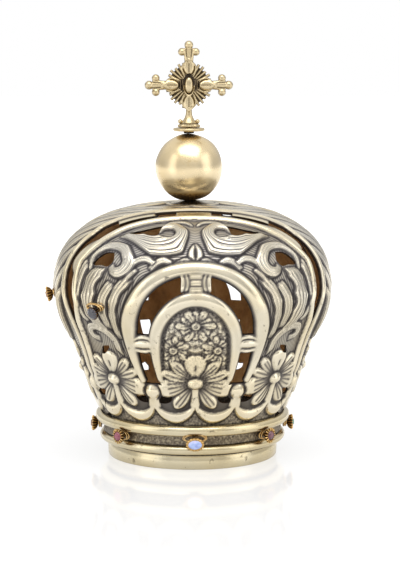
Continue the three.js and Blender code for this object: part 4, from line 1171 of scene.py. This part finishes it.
def dented(obj, depth):
    """Shallow dents over a polished body."""
    count = len(obj.data.vertices)
    places = np.empty(count * 3)
    obj.data.vertices.foreach_get("co", places)
    places = places.reshape(-1, 3)
    middle = (places.max(0) + places.min(0)) / 2
    way = (places - middle) / np.abs(places - middle).max()
    waves = np.sin(5 * way[:, 0] + 2 * way[:, 2]) * np.sin(6 * way[:, 2] + 1) + 0.6 * np.sin(9 * way[:, 1] - 7 * way[:, 0])
    places += way * (waves * depth * MM)[:, None]
    obj.data.vertices.foreach_set("co", places.ravel())
    obj.data.update()
    return obj


keep_piece(dented(turned("gilt_orb", orb_rows(), 120, ORB_GILT, aside=ORB_ASIDE), ORB["dents"]), "orb")
keep_piece(turned("thin_disc", disc_rows(), 72, CAST_GILT, aside=ORB_ASIDE), "neck_disc")

# Cast cross
CROSS = {"centre": 194.2, "base": 172.4, "reach": 24.2, "low": -17.0, "cell": 0.24, "web": 0.55}
CROSS_BOSS = {"half_width": 2.2, "half_height": 4.2, "collar": 0.9}
CAVITY = {"across": 3.7, "half_width": 1.7, "half_height": 3.0, "bars": (3.2, 4.4)}
LOBE = {"from": 4.9, "to": 13.8, "half_width": 2.9}
CALYX = {"from": 4.6, "to": 13.0, "half_width": 4.1, "rim": 0.26}
BAR = {"from": 11.6, "to": 19.0, "outs": (11.6, 14.4, 16.6, 18.5, 19.0), "half_widths": (2.2, 2.4, 2.8, 3.2, 2.7)}
ARM_BALLS = (
    {"name": "tip", "reach": 20.7, "aside": 0, "radius": 2.25},
    {"name": "left", "reach": 17.2, "aside": -3.6, "radius": 2.0},
    {"name": "right", "reach": 17.2, "aside": 3.6, "radius": 2.0},
)
RAYS = {"web": 10.4, "count": 6, "spread": 31.0, "reach": 12.3, "ragged": 1.1, "half_width": 0.62, "root": 4.2}
STEM_HALF = 1.6
FOOT = ((0, 0, 0.6), (5.1, 0, 0.5), (5.5, 0.5, 0.15), (5.3, 1.3, 0.1), (4.5, 1.8, 0.7), (4.1, 2.4, 0.2), (3.3, 3.4, 0.1),
        (2.4, 4.8, 0.15), (1.8, 6.4, 0.1), (1.6, 9.0, 0.1), (0, 9.4, 0.3))
FOOT_KNOBS = {"across": 4.5, "up": 3.0, "radius": 1.25}


class Casting(Relief):
    """A flat casting worked alike on both faces: nothing is kept but what is added."""

    def __init__(self, points):
        super().__init__(points, GROOVE)
        self.keep = np.full(points.shape[:2], -FAR)
        self.x, self.z = points[..., 0], points[..., 2]

    def add(self, inside, height, tarnish_and_shade=POLISHED):
        self.keep = np.maximum(self.keep, inside)
        self.cover(inside > 0, np.where(inside > 0, height, 0), tarnish_and_shade)


def marquise(out, aside, row):
    """Share across and distance inside a leaf pointed at both ends."""
    middle, half = (row["to"] + row["from"]) / 2, (row["to"] - row["from"]) / 2
    width = row["half_width"] * np.clip(1 - ((out - middle) / half) ** 2, 0, 1) ** 0.7 + 1e-3
    share = np.abs(aside) / width
    return share, np.where(np.abs(out - middle) < half, (1 - share) * width, -1.0)


def add_arm(casting, out, aside, plain_end):
    """A lobe in a rimmed leaf, then a flared bar with three balls."""
    bar_width = np.interp(out, BAR["outs"], BAR["half_widths"])
    bar = np.where((out > BAR["from"]) & (out < BAR["to"]), bar_width - np.abs(aside), -1.0)
    if not plain_end:
        casting.add(bar, 0.6 + 1.2 * half_round(aside / bar_width))
        casting.groove(np.abs(aside) - 0.45 * bar_width, 0.28, 0.3, (bar > 0) & (out > 14.5))
    share, inside = marquise(out, aside, CALYX)
    rim = 1 - CALYX["rim"] / 2
    casting.sink(inside > 0, 0.45, 0.62)
    casting.add(np.where(share > 1 - CALYX["rim"], inside, -1.0), 0.7 + 0.8 * half_round((share - rim) / (1 - rim)))
    share, inside = marquise(out, aside, LOBE)
    casting.add(inside, 0.9 + 1.5 * half_round(share))
    casting.groove(aside, 0.3, 0.5, (inside > 0) & (out > 6.4) & (out < 11.4))
    if plain_end:
        return
    for ball in ARM_BALLS:
        radius = np.hypot(out - ball["reach"], aside - ball["aside"])
        casting.add(ball["radius"] - radius, ball["radius"] * half_round(radius / ball["radius"]) + 0.2)


def add_rays(casting, turn):
    for k in range(RAYS["count"]):
        offset = 2 * k / (RAYS["count"] - 1) - 1
        angle = math.radians(turn + offset * RAYS["spread"])
        out = casting.x * math.sin(angle) + casting.z * math.cos(angle)
        aside = casting.x * math.cos(angle) - casting.z * math.sin(angle)
        reach = RAYS["reach"] - RAYS["ragged"] * (0.5 + 0.5 * math.sin(2.3 * k + turn))
        half = RAYS["half_width"] * np.interp(out, (RAYS["root"], reach), (0.7, 1.15))
        inside = np.minimum(half - np.abs(aside), np.minimum(out - RAYS["root"], reach - out))
        casting.add(inside, 0.5 + 0.75 * half_round(aside / half), 0.16)


def add_cavities(casting):
    """Dark hollows on both sides of the boss, with upright bars in them."""
    across = np.abs(casting.x)
    hollow = np.hypot((across - CAVITY["across"]) / CAVITY["half_width"], casting.z / CAVITY["half_height"]) < 1
    casting.sink(hollow, 0.4)
    for bar in CAVITY["bars"]:
        casting.cover(hollow & (np.abs(across - bar) < 0.3), 1.0, 0.45)


def cross_casting():
    reach, cell = CROSS["reach"], CROSS["cell"]
    across = np.arange(-reach, reach + cell, cell)
    up = np.arange(CROSS["low"], reach + cell, cell)
    x, z = np.meshgrid(across, up)
    casting = Casting(np.stack([x, 0 * x, z], axis=-1))
    casting.add(RAYS["web"] - np.hypot(x, z), np.full(x.shape, 0.35), GROOVE)
    for turn in (45, 135, 225, 315):
        add_rays(casting, turn)
    stem = np.where((z < -12) & (z > CROSS["low"] + 0.5), STEM_HALF - np.abs(x), -1.0)
    casting.add(stem, 1.5 * half_round(x / STEM_HALF) + 0.15)
    for out, aside, plain_end in ((z, x, False), (x, z, False), (-x, z, False), (-z, x, True)):
        add_arm(casting, out, aside, plain_end)
    add_cavities(casting)
    boss = np.hypot(x / CROSS_BOSS["half_width"], z / CROSS_BOSS["half_height"])
    collar = 1 + CROSS_BOSS["collar"] / CROSS_BOSS["half_width"]
    casting.sink((boss < collar) & (z > 0), 0.6)
    casting.add(np.where(z < 0, (collar - boss) * CROSS_BOSS["half_width"], -1.0), 1.2 + 0.9 * half_round((boss - 1.28) / 0.2))
    casting.sink((boss > 1) & (boss < 1.12), 0.9)
    casting.add((1 - boss) * CROSS_BOSS["half_width"], 1.4 + 1.6 * half_round(boss))
    return casting


def cross_piece():
    casting = cross_casting()
    height = np.maximum(blurred(casting.height, 1), CROSS["web"] / 2)
    casting.tarnish_and_shade = blurred(casting.tarnish_and_shade, 1)
    centre = np.array([ORB_ASIDE, 0, CROSS["centre"]])
    toward = np.array([0, -1.0, 0])
    front = casting.points + centre + toward * height[..., None]
    back = casting.points + centre - toward * height[..., None]
    return two_faced("cast_cross", casting, front, back, [CAST_GILT])


def joined(name, pieces):
    """One mesh of several."""
    bpy.ops.object.select_all(action="DESELECT")
    for piece in pieces:
        piece.select_set(True)
    bpy.context.view_layer.objects.active = pieces[0]
    bpy.ops.object.join()
    pieces[0].name = name
    return pieces[0]


def lobed_foot():
    """A turned foot whose rim is drawn out in petals."""
    rows = np.array([(radius, CROSS["base"] + up, dark) for radius, up, dark in FOOT])
    return turned("cross_foot", rows, 96, CAST_GILT, lobes=(8, 0.09, CROSS["base"] + 1.6), aside=ORB_ASIDE)


def foot_knob(side):
    radius, height = FOOT_KNOBS["radius"], CROSS["base"] + FOOT_KNOBS["up"]
    rows = [(radius * math.sin(a), height - radius * math.cos(a), 0.4 - 0.3 * math.sin(a)) for a in np.linspace(0, np.pi, 13)]
    return turned("foot_knob", rows, 20, CAST_GILT, aside=ORB_ASIDE + side * FOOT_KNOBS["across"])


keep_piece(joined("cast_cross", [cross_piece(), lobed_foot(), foot_knob(-1), foot_knob(1)]), "cross")

# Stones in clawed settings
SETTINGS = (
    {"name": "front", "azimuth": 0, "slot": "opal"},
    {"name": "front_left", "azimuth": -47.8, "slot": "red_stone"},
    {"name": "left", "azimuth": -90, "slot": "brown_stone"},
    {"name": "back_left", "azimuth": -135, "slot": "red_stone"},
    {"name": "back", "azimuth": 180, "slot": "garnet"},
    {"name": "back_right", "azimuth": 135, "slot": "red_stone"},
    {"name": "right", "azimuth": 90, "slot": "green_stone"},
    {"name": "front_right", "azimuth": 47.8, "slot": "garnet"},
    {"name": "arch_left", "azimuth": -88, "rise": 68, "slot": "brown_stone"},
    {"name": "panel_left", "azimuth": -42.9, "rise": 65.5, "slot": "blue_stone", "cup": 0.84, "stone": 1.4, "darkening": 0.6,
     "loop_up": 2.4, "loop_grow": 1.35, "loop_out": 1.5},
)
# Way out along the pin, radius, share of the fluting and tarnish
CUP_ROWS = (
    (-0.8, 0.0, 0, 0.5), (-0.8, 0.85, 0, 0.5), (2.5, 0.85, 0, 0.4), (2.7, 1.5, 0.2, 0.5), (3.1, 2.3, 0.6, 0.3),
    (3.8, 3.0, 1, 0.2), (4.6, 3.5, 1, 0.15), (5.2, 3.8, 1, 0.05), (5.7, 3.5, 1, 0), (5.9, 3.0, 0.8, 0),
    (5.8, 2.5, 0.5, 0.1), (5.2, 2.35, 0, 0.8), (4.6, 2.2, 0, 0.9), (4.5, 0.0, 0, 0.9),
)
CLAWS = {"count": 15, "depth": 0.34, "drop": 0.9}
STONE = {"seat": 5.4, "girdle": 2.3, "table": 1.35, "crown": 1.0, "keel": 0.8, "facets": 16, "middle": 0.25}
OPAL = {"half_width": 4.5, "half_height": 2.9, "rise": 1.5, "hang": 1.0, "loops_up": 1.6}
WIRE = {"radius": 0.36, "half_width": 4.1, "half_height": 2.1}


def setting_frame(row):
    """Where a pin starts, and the directions right, up and out of its setting, from the middle of its stone."""
    angle = math.radians(row["azimuth"])
    right = np.array([math.cos(angle), math.sin(angle), 0])
    out = np.array([math.sin(angle), -math.cos(angle), 0])
    if "rise" in row:
        out = dome(row["azimuth"], row["rise"], 1.0) - dome(row["azimuth"], row["rise"])
    low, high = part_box(f"stone_{row['name']}")
    middle = (np.array(low + high) / 2 - AXIS) / MM
    return middle - (STONE["seat"] + STONE["middle"]) * out, right, np.cross(out, right), out


def moved(at, rise):
    """The same setting higher by a rise."""
    start, right, up, out = at
    return start + rise * up, right, up, out


def placed(local, at):
    start, right, up, out = at
    return start + local[..., :1] * right + local[..., 1:2] * up + local[..., 2:] * out


def ring_faces(rows, sides):
    faces = []
    for i in range(rows - 1):
        for k in range(sides):
            n = (k + 1) % sides
            faces.append((i * sides + k, i * sides + n, (i + 1) * sides + n, (i + 1) * sides + k))
    return faces


def claw_cup(name, at, scale, claws, darkening=0.0):
    """A pin and a fluted cup whose lip stands up in claws."""
    sides = 84
    angle = np.linspace(0, 2 * np.pi, sides, endpoint=False)
    wave = np.cos(CLAWS["count"] * angle)
    rows, tarnish_and_shade = [], []
    for way, radius, share, dark in CUP_ROWS:
        wide = radius + claws * CLAWS["depth"] * share * wave
        out = way - claws * CLAWS["drop"] * share * (way > 5) * (0.5 - 0.5 * wave)
        grow = np.array(scale) if radius > 1 else np.ones(2)
        rows.append(np.column_stack([wide * np.cos(angle) * grow[0], wide * np.sin(angle) * grow[1], out]))
        # Darker between the claws, and the whole cup darker by the setting's darkening
        tarnish_and_shade.append(np.clip(dark + darkening + claws * share * (0.5 - 0.5 * wave), 0, 1))
    vertices = placed(np.vstack(rows), at)
    tarnish_and_shade = np.concatenate(tarnish_and_shade)
    return mesh_object(name, vertices, ring_faces(len(rows), sides), [COLLET_GOLD], None,
                       {"tarnish_and_shade": tarnish_and_shade, "matting": 0 * tarnish_and_shade}, sharp=50)


def wire_ring(name, at, half_width, half_height, out, tilt):
    """An oval loop of wire round the pin."""
    sides, around = 8, 56
    angle = np.linspace(0, 2 * np.pi, around, endpoint=False)[:, None]
    turn = np.linspace(0, 2 * np.pi, sides, endpoint=False)[None, :]
    reach = WIRE["radius"] * np.cos(turn)
    x = (half_width + reach) * np.cos(angle)
    y = (half_height + reach) * np.sin(angle)
    z = out + WIRE["radius"] * np.sin(turn) + tilt * y + 0 * angle
    vertices = placed(np.stack([x, y, z], axis=-1).reshape(-1, 3), at)
    faces = []
    for i in range(around):
        for k in range(sides):
            j, n = (i + 1) % around, (k + 1) % sides
            faces.append((i * sides + k, j * sides + k, j * sides + n, i * sides + n))
    tarnish_and_shade = np.full(len(vertices), 0.12)
    return mesh_object(name, vertices, faces, [COLLET_GOLD], None, {"tarnish_and_shade": tarnish_and_shade, "matting": 0 * tarnish_and_shade})


def cut_stone(name, at, material, size):
    """A stone with a flat table, a ring of crown facets, a girdle and a keel."""
    sides = STONE["facets"]
    angle = np.linspace(0, 2 * np.pi, sides, endpoint=False)
    half_step = np.pi / sides
    rows = ((STONE["table"], STONE["crown"], half_step), (0.8 * STONE["girdle"], 0.55 * STONE["crown"], 0),
            (STONE["girdle"], 0.1, half_step), (STONE["girdle"], -0.1, half_step), (0.5, -STONE["keel"], half_step))
    local = [np.column_stack([size * r * np.cos(angle + t), size * r * np.sin(angle + t), np.full(sides, STONE["seat"] + up)])
             for r, up, t in rows]
    faces = [tuple(range(sides))]
    for i in range(len(rows) - 1):
        for k in range(sides):
            n = (k + 1) % sides
            p, q, r, s = i * sides + k, i * sides + n, (i + 1) * sides + n, (i + 1) * sides + k
            faces += [(p, r, q), (p, s, r)] if i else [(p, s, r), (p, r, q)]
    faces.append(tuple(range((len(rows) - 1) * sides, len(rows) * sides))[::-1])
    return mesh_object(name, placed(np.vstack(local), at), faces, [material], sharp=4)


def cabochon(name, at, material):
    """A smooth oval dome on a flat back."""
    sides, levels = 48, 14
    angle = np.linspace(0, 2 * np.pi, sides, endpoint=False)
    local = [np.zeros((sides, 3)) + (0, 0, STONE["seat"] - 0.6)]
    for lift in np.linspace(0, np.pi / 2, levels):
        share = max(math.cos(lift), 1e-3)
        local.append(np.column_stack([OPAL["half_width"] * share * np.cos(angle), OPAL["half_height"] * share * np.sin(angle),
                                      np.full(sides, STONE["seat"] - 0.6 + OPAL["rise"] * math.sin(lift))]))
    return mesh_object(name, placed(np.vstack(local), at), ring_faces(len(local), sides), [material])


for row in SETTINGS:
    name, at = row["name"], setting_frame(row)
    if row["slot"] == "opal":
        loops, low = moved(at, OPAL["loops_up"]), moved(at, -OPAL["hang"])
        cup = [claw_cup(f"setting_{name}", low, (1.22, 0.9), 0.25, 0.15),
               wire_ring("loop", loops, 6.0, 2.0, 1.6, 0.1), wire_ring("loop", loops, 5.2, 1.9, 2.5, 0.1)]
        stone = cabochon(f"gem_{name}", low, STONE_MATERIALS["opal"])
    else:
        size = row.get("cup", 1)
        loops, out = moved(at, row.get("loop_up", 0)), row.get("loop_out", 0)
        wide = WIRE["half_width"] * row.get("loop_grow", 1)
        cup = [claw_cup(f"setting_{name}", at, (size, size), 1.0, row.get("darkening", 0)),
               wire_ring("loop", loops, wide, WIRE["half_height"], out + 1.1, 0.12),
               wire_ring("loop", loops, wide - 0.8, WIRE["half_height"], out + 2.0, 0.12)]
        stone = cut_stone(f"gem_{name}", at, STONE_MATERIALS[row["slot"]], row.get("stone", 1))
    keep_piece(joined(f"setting_{name}", cup), f"collet_{name}")
    keep_piece(stone, f"stone_{name}")

# Camera and light
CAMERA = {"distance": 1000.0, "height": 219.1, "azimuth": -1.4, "pitch": 7.482, "aim_right": 4.0, "lens": 119.5}
camera_data = bpy.data.cameras.new("camera")
camera_data.sensor_fit = "VERTICAL"
camera_data.sensor_height = 36
camera_data.lens = CAMERA["lens"]
camera = bpy.data.objects.new("camera", camera_data)
turn = math.radians(CAMERA["azimuth"])
right = Vector((math.cos(turn), math.sin(turn), 0))
eye = Vector((math.sin(turn), -math.cos(turn), 0)) * CAMERA["distance"] + Vector((0, 0, CAMERA["height"]))
aim_height = CAMERA["height"] - CAMERA["distance"] * math.tan(math.radians(CAMERA["pitch"]))
aim = right * CAMERA["aim_right"] + Vector((0, 0, aim_height))
camera.location = eye * MM + Vector(AXIS)
camera.rotation_euler = (aim - eye).to_track_quat("-Z", "Y").to_euler()
bpy.context.scene.collection.objects.link(camera)
bpy.context.scene.camera = camera


def softbox(name, place, target, size, power, colour=(1, 1, 1)):
    light = bpy.data.lights.new(name, "AREA")
    light.shape = "RECTANGLE"
    light.size, light.size_y = size
    light.energy = power
    light.color = colour
    obj = bpy.data.objects.new(name, light)
    obj.location = place
    obj.rotation_euler = (Vector(target) - Vector(place)).to_track_quat("-Z", "Y").to_euler()
    bpy.context.scene.collection.objects.link(obj)


softbox("overhead", (0.0, -0.35, 0.9), (0, 0, 0.1), (0.8, 0.5), 3.7)
softbox("left_box", (-0.85, -0.5, 0.4), (0, 0, 0.1), (0.6, 0.9), 1.6)
softbox("right_box", (0.85, -0.4, 0.45), (0, 0, 0.1), (0.6, 0.9), 1.6)


# Grey of the studio round the object, by share of the way from the front to the back
BOX_GREYS = ((0.0, 0.95), (0.14, 1.0), (0.25, 0.55), (0.36, 0.95), (0.5, 0.76), (0.7, 0.9), (1.0, 0.8))


def studio_world():
    """White to the camera; round the object bright above, and in bright and dim upright strips lower down."""
    world = bpy.data.worlds.new("studio")
    bpy.context.scene.world = world
    world.use_nodes = True
    nodes, links = world.node_tree.nodes, world.node_tree.links
    background = nodes["Background"]
    coordinates = nodes.new("ShaderNodeTexCoord")
    split = nodes.new("ShaderNodeSeparateXYZ")
    links.new(coordinates.outputs["Generated"], split.inputs["Vector"])
    ramp = colour_ramp(nodes, ((0.0, (0.85, 0.85, 0.85)), (0.46, (0.7, 0.7, 0.7)), (0.55, (0.76, 0.76, 0.76)),
                               (0.78, (1.12, 1.12, 1.12))))
    height = split.outputs["Z"]
    links.new(span(nodes, links, height, -1, 1, 0, 1), ramp.inputs["Fac"])
    toward = combine(nodes, links, "MULTIPLY", split.outputs["Y"], -1.0)
    turn = combine(nodes, links, "ABSOLUTE", combine(nodes, links, "ARCTAN2", split.outputs["X"], toward))
    boxes = colour_ramp(nodes, [(share, (grey, grey, grey)) for share, grey in BOX_GREYS])
    links.new(combine(nodes, links, "DIVIDE", turn, math.pi), boxes.inputs["Fac"])
    shaded = nodes.new("ShaderNodeMix")
    shaded.data_type = "RGBA"
    shaded.blend_type = "MULTIPLY"
    links.new(combine(nodes, links, "MULTIPLY_ADD", combine(nodes, links, "MULTIPLY", height, height), -1.0, 1.0),
              shaded.inputs["Factor"])
    links.new(ramp.outputs["Color"], shaded.inputs["A"])
    links.new(boxes.outputs["Color"], shaded.inputs["B"])
    path = nodes.new("ShaderNodeLightPath")
    seen = nodes.new("ShaderNodeMix")
    seen.data_type = "RGBA"
    links.new(path.outputs["Is Camera Ray"], seen.inputs["Factor"])
    links.new(shaded.outputs["Result"], seen.inputs["A"])
    seen.inputs["B"].default_value = (1, 1, 1, 1)
    links.new(seen.outputs["Result"], background.inputs["Color"])


studio_world()
bpy.context.scene.view_settings.view_transform = "Standard"

# Pale floor, lit from within so that it stays as white as the paper behind the crown
floor_mesh = bpy.data.meshes.new("floor")
floor_mesh.from_pydata([(-6, -6, 0), (6, -6, 0), (6, 6, 0), (-6, 6, 0)], [], [(0, 1, 2, 3)])
floor = bpy.data.objects.new("floor", floor_mesh)
bpy.context.scene.collection.objects.link(floor)
floor_material, floor_nodes, floor_links, floor_shader = new_material("pale_floor", 0.0)
floor_shader.inputs["Base Color"].default_value = (0.32, 0.32, 0.32, 1)
floor_shader.inputs["Roughness"].default_value = 0.08
floor_shader.inputs["Emission Color"].default_value = (1, 1, 1, 1)
floor_place = floor_nodes.new("ShaderNodeTexCoord")
floor_reach = floor_nodes.new("ShaderNodeVectorMath")
floor_reach.operation = "LENGTH"
floor_links.new(floor_place.outputs["Object"], floor_reach.inputs[0])
floor_glow = span(floor_nodes, floor_links, floor_reach.outputs["Value"], 0.05, 0.9, 0.55, 0.98)
floor_links.new(floor_glow, floor_shader.inputs["Emission Strength"])
floor_mesh.materials.append(floor_material)
